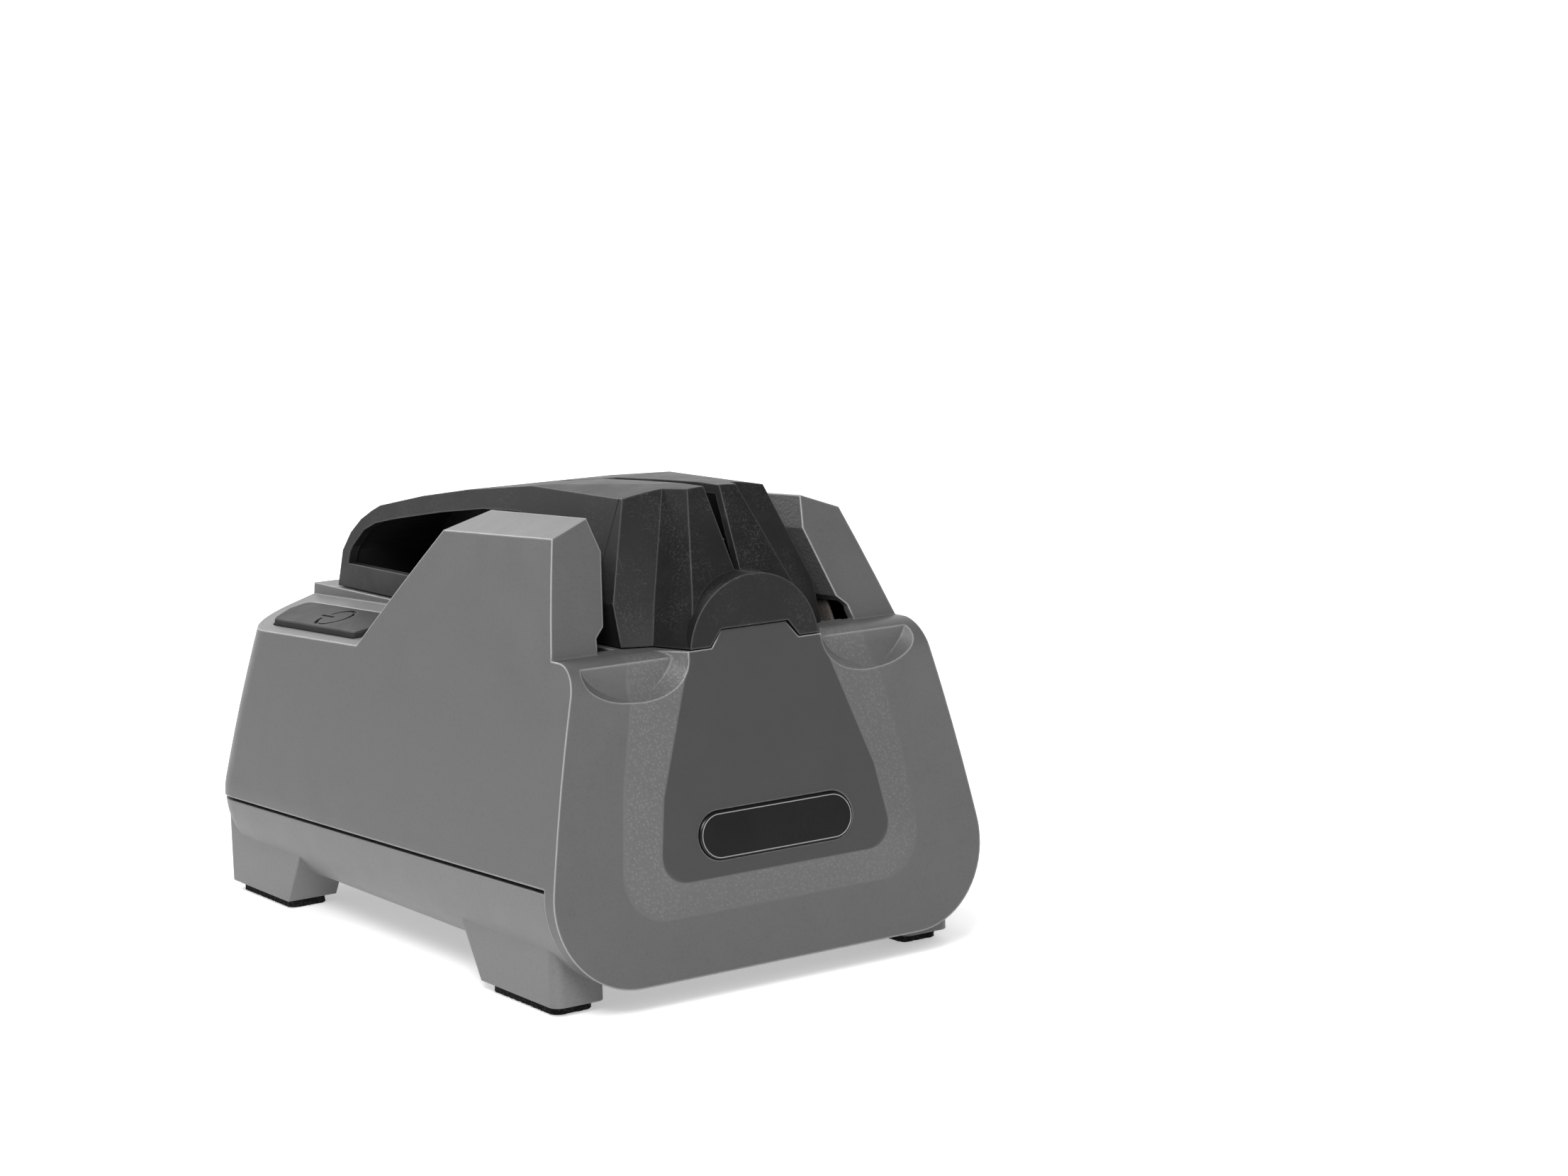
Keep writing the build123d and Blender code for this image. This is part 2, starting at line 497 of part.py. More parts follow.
def at_level(row, z):
    """Corner of the nose at height z, from its three known levels."""
    low = 0 if z <= NOSE_LEVELS[1] else 1
    part = (z - NOSE_LEVELS[low]) / (NOSE_LEVELS[low + 1] - NOSE_LEVELS[low])
    return tuple(a + (b - a) * part for a, b in zip(row[low], row[low + 1]))


def nose(inset):
    """Faceted front of the guide, or its hollow."""
    levels = (GUIDE_BASE - (3 if inset else 0), GUIDE_KNEE_Z, GUIDE_CROWN_Z - inset)
    with BuildPart() as solid:
        for z in levels:
            side, crease, tip = (at_level(row, z) for row in (NOSE_SIDE, NOSE_CREASE, NOSE_TIP))
            half = [(side[0] - inset, GUIDE_JOIN + inset * 2),
                    (side[0] - inset, side[1] + inset * 1.1),
                    (crease[0] - inset * 0.9, crease[1] + inset * 1.1),
                    (tip[0] - inset, tip[1] + inset * 1.1)]
            with BuildSketch(Plane.XY.offset(z)):
                Polygon(*ring(half), align=None)
        loft(ruled=True)
        add(under_crown(inset), mode=Mode.INTERSECT)
    return solid.part


with BuildPart() as web:
    box((-WEB_X, WEB_START, GUIDE_BASE), (WEB_X, WEB_END, GUIDE_CROWN_Z))
    add(straight(GUIDE_WALL / 2), mode=Mode.INTERSECT)

with BuildPart() as guide:
    add(straight(0))
    add(nose(0))
    with BuildSketch(xz(-60)):
        with Locations((0, ARCH_Z)):
            Circle(ARCH_R)
    extrude(amount=-60 - ARCH_FRONT)
    box((-30, -90, 50), (30, -50, GUIDE_BASE), Mode.SUBTRACT)
    add(straight(GUIDE_WALL), mode=Mode.SUBTRACT)
    add(nose(GUIDE_WALL), mode=Mode.SUBTRACT)
    with BuildSketch(xz(-60)):
        with Locations((0, ARCH_Z)):
            Circle(ARCH_R - ARCH_WALL)
    extrude(amount=-60 - ARCH_FRONT - ARCH_WALL, mode=Mode.SUBTRACT)
    prism_y(ring([(SLOT_LOW_X, SLOT_LOW_Z), (SLOT_TOP_X, GUIDE_CROWN_Z + 2)]), -FAR, SLOT_END, Mode.SUBTRACT)
    prism_y(ring([(TAB_LOW_X + GAP, 70), (TAB_LOW_X + GAP, GUIDE_BASE), (TAB_TOP_X + GAP, TAB_TOP_Z + GAP)]),
            -FAR, TAB_BACK + GAP, Mode.SUBTRACT)
    prism_x([(y, guide_z(share)) for y, share in WINDOW], -FAR, FAR, Mode.SUBTRACT)
    add(web.part)
save(guide.part, "knife_guide")


def hone_rod(side, radius, shift=0.0):
    """One honing rod, leaning to a side across the centre slot."""
    lean = side * radians(ROD_LEAN)
    along = Vector(sin(lean), 0, cos(lean))
    middle = Vector(0, ROD_Y + side * ROD_STEP, ROD_Z)
    with BuildPart() as rod:
        with BuildSketch(Plane(origin=middle - along * (ROD_L / 2 + shift), x_dir=(0, 1, 0), z_dir=along)):
            Circle(radius)
        extrude(amount=ROD_L + shift)
    return rod.part


with BuildPart() as rods:
    for _, side in SIDES:
        add(hone_rod(side, ROD_R))
save(rods.part, "hone_rods")

with BuildPart() as holder:
    low_y = ROD_Y - HOLDER_L / 2
    box((-HOLDER_X, low_y, HOLDER_LOW), (HOLDER_X, low_y + HOLDER_L, HOLDER_TOP))
    box((-HOLDER_WING_X, low_y, HOLDER_LOW), (HOLDER_WING_X, low_y + HOLDER_L, HOLDER_LOW + HOLDER_WING_T))
    for _, side in SIDES:
        add(hone_rod(side, ROD_R + 0.02, 0.02), mode=Mode.SUBTRACT)
save(holder.part, "rod_holder")

# ---------------------------------------------------------------- motor
with BuildPart() as can:
    rod_x(MOTOR_R, -MOTOR_X, MOTOR_X - CAP_T)
    rod_x(MOTOR_R - CAN_T, CAN_T - MOTOR_X, MOTOR_X - CAP_T, Mode.SUBTRACT)
    rod_x(BEARING_SEAT_R, -MOTOR_X, BEARING_L - MOTOR_X)
    rod_x(BEARING_R, -MOTOR_X, BEARING_L - MOTOR_X, Mode.SUBTRACT)
    with BuildSketch(AXIS_PLANE.offset(-MOTOR_X)):
        with PolarLocations(MOTOR_R - 5, 6):
            Circle(2)
    extrude(amount=CAN_T, mode=Mode.SUBTRACT)
save(can.part, "motor_can")

with BuildPart() as cap:
    rod_x(MOTOR_R, MOTOR_X - CAP_T, MOTOR_X)
    rod_x(BEARING_R, MOTOR_X - CAP_T, MOTOR_X, Mode.SUBTRACT)
save(cap.part, "motor_end_cap")

with BuildPart() as bearings:
    for start in (-MOTOR_X, MOTOR_X - CAP_T):
        length = BEARING_L if start < 0 else CAP_T
        rod_x(BEARING_R, start, start + length)
        rod_x(SHAFT_R + FIT, start, start + length, Mode.SUBTRACT)
save(bearings.part, "motor_bearings")

with BuildPart() as magnets:
    rod_x(MOTOR_R - CAN_T - FIT, MAGNET_START, MAGNET_END)
    rod_x(MOTOR_R - CAN_T - MAGNET_T, MAGNET_START, MAGNET_END, Mode.SUBTRACT)
    box((-20, AXIS_Y - 20, AXIS_Z - MAGNET_HALF), (20, AXIS_Y + 20, AXIS_Z + MAGNET_HALF), Mode.INTERSECT)
save(magnets.part, "motor_magnets")

with BuildPart() as armature:
    rod_x(ARMATURE_R, ARMATURE_START, ARMATURE_END)
    rod_x(SHAFT_R, ARMATURE_START, ARMATURE_END, Mode.SUBTRACT)
    with BuildSketch(AXIS_PLANE.offset(ARMATURE_START)):
        with PolarLocations(ARMATURE_R - 2.0, ARMATURE_SLOTS):
            Rectangle(5.0, 1.6)
    extrude(amount=ARMATURE_END - ARMATURE_START, mode=Mode.SUBTRACT)
save(armature.part, "motor_armature")

with BuildPart() as commutator:
    rod_x(COMM_R, COMM_START, COMM_END)
    rod_x(SHAFT_R, COMM_START, COMM_END, Mode.SUBTRACT)
save(commutator.part, "motor_commutator")

with BuildPart() as brushes:
    for _, side in SIDES:
        reach = sorted((AXIS_Z + side * (COMM_R + FIT), AXIS_Z + side * (COMM_R + FIT + BRUSH_L)))
        half = BRUSH_W / 2
        box((BRUSH_X - half, AXIS_Y - half, reach[0]), (BRUSH_X + half, AXIS_Y + half, reach[1]))
save(brushes.part, "motor_brushes")

with BuildPart() as brush_holders:
    for _, side in SIDES:
        near = AXIS_Z + side * (COMM_R + 1)
        far = AXIS_Z + side * (COMM_R + 6.4)
        reach = sorted((near, far))
        half = BRUSH_W / 2 + BRUSH_BOX
        box((BRUSH_X - half, AXIS_Y - half, reach[0]), (MOTOR_X - CAP_T, AXIS_Y + half, reach[1]))
        hole = BRUSH_W / 2 + 0.02
        depth = sorted((near, AXIS_Z + side * (COMM_R + FIT + BRUSH_L)))
        box((BRUSH_X - hole, AXIS_Y - hole, depth[0]), (BRUSH_X + hole, AXIS_Y + hole, depth[1]),
            Mode.SUBTRACT)
save(brush_holders.part, "brush_holders")

with BuildPart() as fan:
    rod_x(FAN_HUB_R, FAN_START, FAN_END)
    with BuildSketch(AXIS_PLANE.offset(FAN_START)):
        with PolarLocations((FAN_HUB_R + FAN_R) / 2 - 0.4, FAN_BLADES):
            Rectangle(FAN_R - FAN_HUB_R + 0.8, 1.0)
    extrude(amount=FAN_END - FAN_START)
    rod_x(SHAFT_R, FAN_START, FAN_END, Mode.SUBTRACT)
save(fan.part, "cooling_fan")

with BuildPart() as shaft:
    rod_x(SHAFT_R, -SHAFT_X, SHAFT_X)
    chamfer(shaft.edges(), 0.4)
save(shaft.part, "motor_shaft")

# ---------------------------------------------------------------- discs, hubs, nuts, liners
for name, side in SIDES:
    inner, outer = sorted((side * HUB_IN_X, side * DISC_X))
    flange = sorted((side * (DISC_X - HUB_T), side * DISC_X))
    with BuildPart() as hub:
        rod_x(HUB_BOSS_R, inner, outer)
        rod_x(HUB_R, flange[0], flange[1])
        rod_x(SHAFT_R, inner, outer, Mode.SUBTRACT)
    save(hub.part, f"disc_hub_{name}")

    sheet = sorted((side * DISC_X, side * (DISC_X + DISC_T)))
    with BuildPart() as disc:
        rod_x(DISC_R, sheet[0], sheet[1])
        rod_x(SHAFT_R, sheet[0], sheet[1], Mode.SUBTRACT)
    save(disc.part, f"abrasive_disc_{name}")

    lock = sorted((side * (DISC_X + DISC_T), side * (DISC_X + DISC_T + NUT_T)))
    with BuildPart() as nut:
        with BuildSketch(AXIS_PLANE.offset(lock[0])):
            RegularPolygon(NUT_R, 6)
        extrude(amount=NUT_T)
        rod_x(SHAFT_R, lock[0], lock[1], Mode.SUBTRACT)
    save(nut.part, f"disc_nut_{name}")

    wide = sorted((side * LINER_IN_X, side * LINER_OUT_X))
    room = sorted((side * (LINER_IN_X + LINER_T), side * (LINER_OUT_X - LINER_T)))
    hole = sorted((side * (LINER_IN_X - 1), side * (LINER_IN_X + LINER_T + 1)))
    with BuildPart() as liner:
        rod_x(LINER_R, wide[0], wide[1])
        rod_x(LINER_R - LINER_T, room[0], room[1], Mode.SUBTRACT)
        rod_x(LINER_HOLE_R, hole[0], hole[1], Mode.SUBTRACT)
        box((-60, -90, LEDGE_Z - WALL), (60, 40, 110), Mode.SUBTRACT)
    save(liner.part, f"chamber_liner_{name}")

# ---------------------------------------------------------------- motor bracket and strap
with BuildPart() as bracket:
    box((-BRACKET_X, AXIS_Y - BRACKET_HALF, FLOOR_Z), (BRACKET_X, AXIS_Y + BRACKET_HALF, AXIS_Z))
    box((BRACKET_T - BRACKET_X, AXIS_Y - 40, FLOOR_Z + BRACKET_FOOT),
        (BRACKET_X - BRACKET_T, AXIS_Y + 40, 70), Mode.SUBTRACT)
    rod_x(MOTOR_R + FIT, -BRACKET_X, BRACKET_X, Mode.SUBTRACT)
    box((-BRACKET_X, AXIS_Y - 14, 16), (BRACKET_X, AXIS_Y + 14, 36), Mode.SUBTRACT)
    strap_spots = [(x * STRAP_SCREW_X, AXIS_Y + y * STRAP_SCREW_Y) for x in (-1, 1) for y in (-1, 1)]
    rod_z(strap_spots, STRAP_SCREW_R + FIT, AXIS_Z - STRAP_SCREW_L, AXIS_Z, Mode.SUBTRACT)
save(bracket.part, "motor_bracket")

with BuildPart() as strap:
    rod_x(MOTOR_R + STRAP_T, -BRACKET_X, BRACKET_X)
    box((-BRACKET_X, AXIS_Y - BRACKET_HALF, AXIS_Z), (BRACKET_X, AXIS_Y + BRACKET_HALF, AXIS_Z + EAR_T))
    rod_x(MOTOR_R + FIT, -BRACKET_X, BRACKET_X, Mode.SUBTRACT)
    box((-30, -80, 20), (30, 20, AXIS_Z), Mode.SUBTRACT)
    rod_z(strap_spots, STRAP_SCREW_R + FIT, AXIS_Z - 1, AXIS_Z + 4, Mode.SUBTRACT)
save(strap.part, "motor_strap")

with BuildPart() as strap_screws:
    rod_z(strap_spots, STRAP_SCREW_R, AXIS_Z - STRAP_SCREW_L + 0.5, AXIS_Z + EAR_T)
    rod_z(strap_spots, STRAP_SCREW_R + 0.9, AXIS_Z + EAR_T, AXIS_Z + EAR_T + 1.4)
save(strap_screws.part, "strap_screws")


# ---------------------------------------------------------------- power button and switch
def button_slab(low, high, outward):
    """Button outline from a level that follows the left deck up to the heights at its two sides."""
    with BuildPart() as slab:
        with BuildSketch(xz(0)):
            Polygon((-60, deck_z(60, 0) + low), (-20, deck_z(20, 0) + low), (-20, high[1]), (-60, high[0]),
                    align=None)
        extrude(amount=90, dir=(0, 1, -DECK_FALL))
        with BuildSketch(Plane.XY.offset(50)) as outline:
            Polygon(*BUTTON, align=None)
            fillet(outline.vertices(), BUTTON_R)
            if outward:
                offset(amount=outward)
        extrude(amount=50, mode=Mode.INTERSECT)
    return slab.part


BUTTON_TOP = Plane(origin=(ICON_X, ICON_Y, button_z(-ICON_X, ICON_Y)), x_dir=(1, 0, BUTTON_RISE),
                   z_dir=(-BUTTON_RISE, DECK_FALL, 1))
under = -WALL - GAP
with BuildPart() as button:
    add(button_slab(under - FLANGE_T, (button_z(60, 0), button_z(20, 0)), 0))
    chamfer(button.faces().sort_by(Axis.Z)[-1].edges(), 0.4)
    add(button_slab(under - FLANGE_T, (deck_z(60, 0) + under, deck_z(20, 0) + under), FLANGE_OUT))
    rod_z([(STEM_X, STEM_Y)], STEM_R, STEM_LOW, 69)
    rod_z([(STEM_X, STEM_Y)], COLLAR_R, COLLAR_Z, COLLAR_Z + COLLAR_T)
    with BuildSketch(BUTTON_TOP) as icon:
        Circle(ICON_R)
        Circle(ICON_R - ICON_W, mode=Mode.SUBTRACT)
        with Locations((0, ICON_R)):
            Rectangle(3 * ICON_W, 2 * ICON_R, mode=Mode.SUBTRACT)
        with Locations((0, ICON_R * 0.8)):
            Rectangle(ICON_W, ICON_R * 1.2)
    extrude(amount=-ICON_DEEP, mode=Mode.SUBTRACT)
save(button.part, "power_button")

with BuildPart() as spring:
    height = COLLAR_Z - SWITCH_TOP - 2 * FIT - SEAT_T - 2 * SPRING_WIRE
    with BuildLine() as coil:
        Helix(pitch=height / SPRING_TURNS, height=height, radius=SPRING_R,
              center=(STEM_X, STEM_Y, SWITCH_TOP + FIT + SEAT_T + SPRING_WIRE))
    with BuildSketch(Plane(origin=coil.line @ 0, z_dir=coil.line % 0)):
        Circle(SPRING_WIRE)
    sweep(path=coil.line)
save(spring.part, "button_spring")

with BuildPart() as switch:
    box((STEM_X - SWITCH_W / 2, STEM_Y - SWITCH_L / 2, SWITCH_LOW),
        (STEM_X + SWITCH_W / 2, STEM_Y + SWITCH_L / 2, SWITCH_TOP))
    rod_z([(STEM_X, STEM_Y)], PLUNGER_R, SWITCH_TOP, PLUNGER_TOP)
save(switch.part, "power_switch")

with BuildPart() as seat:
    for z in (SWITCH_LOW - SEAT_T, SWITCH_TOP):
        box((STEM_X - 5.5, STEM_Y - SEAT_L / 2 - SEAT_POST, z),
            (STEM_X + 5.5, STEM_Y + SEAT_L / 2 + SEAT_POST, z + SEAT_T))
    for y in (STEM_Y - SEAT_L / 2 - SEAT_POST, STEM_Y + SEAT_L / 2):
        box((STEM_X - 5.5, y, 20), (STEM_X + 5.5, y + SEAT_POST, SWITCH_TOP + SEAT_T))
    box((STEM_X - 3, STEM_Y - 6, 5), (STEM_X + 7, STEM_Y + 6, SWITCH_LOW - SEAT_T))
    box((STEM_X - 5.5, STEM_Y - SEAT_L / 2 - SEAT_POST, 20),
        (STEM_X + 5.5, STEM_Y + SEAT_L / 2 + SEAT_POST, 22))
    rod_z([(STEM_X, STEM_Y)], PLUNGER_R + 0.6, SWITCH_TOP - 1, SWITCH_TOP + 3, Mode.SUBTRACT)
    add(hull(NEST + WALL + FIT, 0, 70), mode=Mode.INTERSECT)
save(seat.part, "switch_bracket")

# ---------------------------------------------------------------- circuit board and power inlet
board_spots = [(x * (BOARD_W / 2 - BOARD_HOLE), BOARD_Y + y * (BOARD_L / 2 - BOARD_HOLE))
               for x in (-1, 1) for y in (-1, 1)]
with BuildPart() as board:
    with BuildSketch(Plane.XY.offset(BOARD_Z)):
        with Locations((0, BOARD_Y)):
            RectangleRounded(BOARD_W, BOARD_L, 1.5)
        with Locations(*board_spots):
            Circle(BOARD_SCREW_R + FIT, mode=Mode.SUBTRACT)
    extrude(amount=BOARD_T)
save(board.part, "circuit_board")

with BuildPart() as board_screws:
    rod_z(board_spots, BOARD_SCREW_R, FLOOR_Z + 1.5, BOARD_Z + BOARD_T)
    rod_z(board_spots, BOARD_SCREW_HEAD, BOARD_Z + BOARD_T, BOARD_Z + BOARD_T + 1.5)
save(board_screws.part, "board_screws")

with BuildPart() as components:
    top = BOARD_Z + BOARD_T
    box((-18, BOARD_Y - 14, top), (-2, BOARD_Y + 2, top + 13))
    box((6, BOARD_Y + 2, top), (18, BOARD_Y + 16, top + 9))
    box((-16, BOARD_Y + 8, top), (-4, BOARD_Y + 14, top + 7))
    rod_z([(10, BOARD_Y - 10)], 5, top, top + 16)
    rod_z([(20, BOARD_Y - 6)], 3.2, top, top + 11)
save(components.part, "board_parts")

with BuildPart() as inlet:
    wall_in = back_y(INLET_Z) - NEST - WALL
    box((INLET_X - INLET_W / 2, wall_in - INLET_L - 1, INLET_Z - INLET_H / 2),
        (INLET_X + INLET_W / 2, wall_in - 2.6, INLET_Z + INLET_H / 2))
    with BuildSketch(xz(wall_in + WALL - 0.4)):
        with Locations((INLET_X, INLET_Z)):
            Circle(INLET_R)
    extrude(amount=8)
    with BuildSketch(xz(wall_in + WALL)):
        with Locations((INLET_X, INLET_Z)):
            Circle(JACK_R)
    extrude(amount=11, mode=Mode.SUBTRACT)
    with BuildSketch(xz(wall_in + WALL - 2)):
        with Locations((INLET_X, INLET_Z)):
            Circle(0.9)
    extrude(amount=11)
save(inlet.part, "power_inlet")
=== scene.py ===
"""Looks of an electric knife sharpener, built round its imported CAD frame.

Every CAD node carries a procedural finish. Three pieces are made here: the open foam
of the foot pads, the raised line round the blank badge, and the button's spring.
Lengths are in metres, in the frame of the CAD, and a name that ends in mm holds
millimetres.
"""

import json
import logging
import math
from dataclasses import dataclass, field
from enum import Enum
from typing import Callable, Dict, List, Optional, Tuple

import bmesh
import bpy
from mathutils import Matrix, Vector, noise


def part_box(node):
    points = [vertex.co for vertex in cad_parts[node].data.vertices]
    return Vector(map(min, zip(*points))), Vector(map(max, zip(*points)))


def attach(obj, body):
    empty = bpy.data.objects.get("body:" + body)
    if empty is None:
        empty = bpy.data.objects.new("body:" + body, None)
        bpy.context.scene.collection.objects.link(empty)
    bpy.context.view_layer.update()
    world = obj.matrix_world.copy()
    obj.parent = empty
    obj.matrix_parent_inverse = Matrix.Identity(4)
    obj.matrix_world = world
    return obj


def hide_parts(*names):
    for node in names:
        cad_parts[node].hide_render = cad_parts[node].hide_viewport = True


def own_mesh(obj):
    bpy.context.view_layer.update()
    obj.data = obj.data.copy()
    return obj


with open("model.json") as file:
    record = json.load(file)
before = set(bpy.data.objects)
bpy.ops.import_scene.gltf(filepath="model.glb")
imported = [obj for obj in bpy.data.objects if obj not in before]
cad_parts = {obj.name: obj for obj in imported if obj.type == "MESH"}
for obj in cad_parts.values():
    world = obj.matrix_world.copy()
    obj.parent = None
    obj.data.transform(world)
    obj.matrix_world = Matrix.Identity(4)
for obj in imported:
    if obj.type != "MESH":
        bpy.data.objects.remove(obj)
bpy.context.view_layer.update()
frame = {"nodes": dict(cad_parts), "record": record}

LOG = logging.getLogger("sharpener")
MM = 0.001
Colour = Tuple[float, float, float]
Point = Tuple[float, float, float]
Span = Tuple[float, float]
Ring = List[bmesh.types.BMVert]
Sockets = Dict[str, bpy.types.NodeSocket]
Fill = Callable[["Graph", bpy.types.Node], Sockets]


class Texture(Enum):
    """Moulded or natural grain of a surface."""

    SPARK = "spark"
    SATIN = "satin"
    FOAM = "foam"
    GRIT = "grit"
    BRUSHED = "brushed"
    PLAIN = "plain"


@dataclass(frozen=True)
class Finish:
    """Everything that sets one material apart from the others.

    Attributes:
        slot: Name of the material, and of the record's slot where CAD nodes carry it.
        colour: Base colour, linear.
        roughness: Mean roughness.
        texture: Grain of the surface.
        grain_mm: Size of the grain.
        relief_mm: Height of the grain.
        metallic: 1 for bare metal.
        edge_mm: Radius that the shading rounds hard edges to.
        wear: How much of the edges is rubbed, 0 to 1.
        wear_and_highlight_colour: Colour of a rubbed edge and of scratches, also of the painted highlight
            along the rounded edges.
        dust: How much dust lies on it, 0 to 1.
        scratch: How many fine scratches, 0 to 1.
        mottle: How much the colour wanders, 0 to 1.
        coat: Clear coat weight.
        specular: Specular level.
        edge_light: Strength of the painted highlight along the rounded edges, 0 to 1.
        panelled: Whether the moulded front panel, smooth in a coarse band, is on it.
    """

    slot: str
    colour: Colour
    roughness: float
    texture: Texture = Texture.PLAIN
    grain_mm: float = 0.3
    relief_mm: float = 0.01
    metallic: float = 0.0
    edge_mm: float = 0.3
    wear: float = 0.0
    wear_and_highlight_colour: Colour = (0.3, 0.3, 0.3)
    dust: float = 0.0
    scratch: float = 0.0
    mottle: float = 0.06
    coat: float = 0.0
    specular: float = 0.5
    edge_light: float = 0.0
    panelled: bool = False


HOUSING_GREY = (0.082, 0.082, 0.083)
GUIDE_BLACK = (0.0082, 0.0082, 0.0085)
DUST_COLOUR = (0.30, 0.29, 0.28)

FINISHES: Dict[str, Finish] = {finish.slot: finish for finish in (
    Finish("housing_grey", HOUSING_GREY, 0.45, Texture.SPARK, 0.42, 0.016, edge_mm=0.7, wear=0.06,
           wear_and_highlight_colour=(0.46, 0.46, 0.46), dust=0.03, mottle=0.05, specular=0.42, edge_light=0.80,
           panelled=True),
    Finish("lower_grey", (0.128, 0.128, 0.129), 0.47, Texture.SPARK, 0.42, 0.012, edge_mm=0.7, wear=0.05,
           wear_and_highlight_colour=(0.26, 0.26, 0.26), dust=0.02, mottle=0.05, specular=0.35, edge_light=0.55),
    Finish("guide_black", GUIDE_BLACK, 0.52, Texture.SATIN, 0.42, 0.010, edge_mm=0.35, wear=0.30,
           wear_and_highlight_colour=(0.12, 0.12, 0.12), dust=0.16, scratch=0.12, mottle=0.2, specular=0.28,
           edge_light=0.45),
    Finish("button_black", (0.016, 0.016, 0.0165), 0.58, Texture.SATIN, 0.4, 0.012, edge_mm=0.5, wear=0.12,
           wear_and_highlight_colour=(0.12, 0.12, 0.12), dust=0.10, mottle=0.1, specular=0.18, edge_light=0.25),
    Finish("badge_black", (0.005, 0.005, 0.0055), 0.30, Texture.PLAIN, 0.8, 0.002, wear=0.1,
           wear_and_highlight_colour=(0.06, 0.06, 0.06), dust=0.03, mottle=0.05, specular=0.3),
    Finish("badge_line", (0.34, 0.34, 0.345), 0.35, Texture.PLAIN, 0.4, 0.002, mottle=0.05, coat=0.2),
    Finish("foam_black", (0.022, 0.022, 0.022), 0.95, Texture.FOAM, 1.3, 0.35, edge_mm=0.1, dust=0.25,
           mottle=0.5, specular=0.2),
    Finish("inner_plastic", (0.055, 0.055, 0.058), 0.6, Texture.SATIN, 0.5, 0.008, dust=0.3, mottle=0.15),
    Finish("zinc_steel", (0.55, 0.55, 0.56), 0.34, Texture.BRUSHED, 0.25, 0.003, metallic=1.0, scratch=0.1),
    Finish("motor_steel", (0.42, 0.42, 0.43), 0.4, Texture.BRUSHED, 0.3, 0.003, metallic=1.0, scratch=0.1),
    Finish("spring_steel", (0.6, 0.6, 0.61), 0.25, Texture.PLAIN, 0.3, 0.001, metallic=1.0),
    Finish("bronze", (0.50, 0.34, 0.16), 0.38, Texture.SATIN, 0.2, 0.003, metallic=1.0),
    Finish("copper", (0.62, 0.30, 0.16), 0.3, Texture.BRUSHED, 0.2, 0.002, metallic=1.0),
    Finish("magnet_black", (0.06, 0.06, 0.062), 0.6, Texture.SATIN, 0.3, 0.01),
    Finish("carbon", (0.03, 0.03, 0.031), 0.55, Texture.SATIN, 0.2, 0.005),
    Finish("abrasive", (0.20, 0.17, 0.145), 0.85, Texture.GRIT, 0.35, 0.08, mottle=0.5, dust=0.4),
    Finish("ceramic_white", (0.72, 0.70, 0.66), 0.32, Texture.SATIN, 0.25, 0.003, mottle=0.08, scratch=0.25),
    Finish("board_green", (0.02, 0.11, 0.045), 0.4, Texture.PLAIN, 0.5, 0.002, mottle=0.1, coat=0.2),
    Finish("board_black", (0.02, 0.02, 0.021), 0.4, Texture.SATIN, 0.4, 0.005, mottle=0.1),
)}


@dataclass(frozen=True)
class Field:
    """A field of the moulded front, the same on both sides of the middle.

    Attributes:
        edge_mm: Corners of its side edge from the top down, as distances from the middle and heights.
        corner_mm: Radius of its lower corners.
        soft_mm: Half the width over which its edge fades.
    """

    edge_mm: Tuple[Span, ...]
    corner_mm: float
    soft_mm: float


COARSE_FIELD = Field(((31.0, 76.4), (37.0, 49.0), (40.6, 19.6)), corner_mm=12.0, soft_mm=0.5)
SMOOTH_FIELD = Field(((17.4, 76.4), (28.2, 46.0), (31.4, 27.2)), corner_mm=7.0, soft_mm=0.35)


@dataclass(frozen=True)
class FrontLook:
    """How the zones of the moulded front differ from the rest of the housing, in grain, gloss and tone; the
    tones are partly painted light and shade.

    Attributes:
        smooth: Tone of the smooth panel, as a share of the housing's; darker, partly for its smoothness and
            partly painted shade.
        band: Tone of the coarse band; lighter, partly for its coarse grain and partly painted light.
        inner: Tone of the towers' inner sides, which face the middle; lighter, partly for their coarse grain
            and partly painted light.
        pit: Tone of the painted shade between the coarse grains.
        pit_share: How strongly that tone shows, 0 to 1.
        pit_heights: Heights of the coarse grain over which it fades in.
        gloss: How much less rough the smooth panel is.
        grain: Size of the coarse grain.
        relief: Height of the coarse grain against the fine one.
    """

    smooth: float = 0.54
    band: float = 1.7
    inner: float = 1.4
    pit: float = 0.62
    pit_share: float = 0.45
    pit_heights: Span = (0.25, 0.85)
    gloss: float = 0.06
    grain: float = 0.75 * MM
    relief: float = 4.0


def scaled(colour: Colour, share: float) -> Colour:
    """Lightens or darkens a colour, up to white.

    Args:
        colour: The colour.
        share: What its parts are multiplied by.

    Returns:
        The new colour.
    """
    return tuple(min(1.0, part * share) for part in colour)


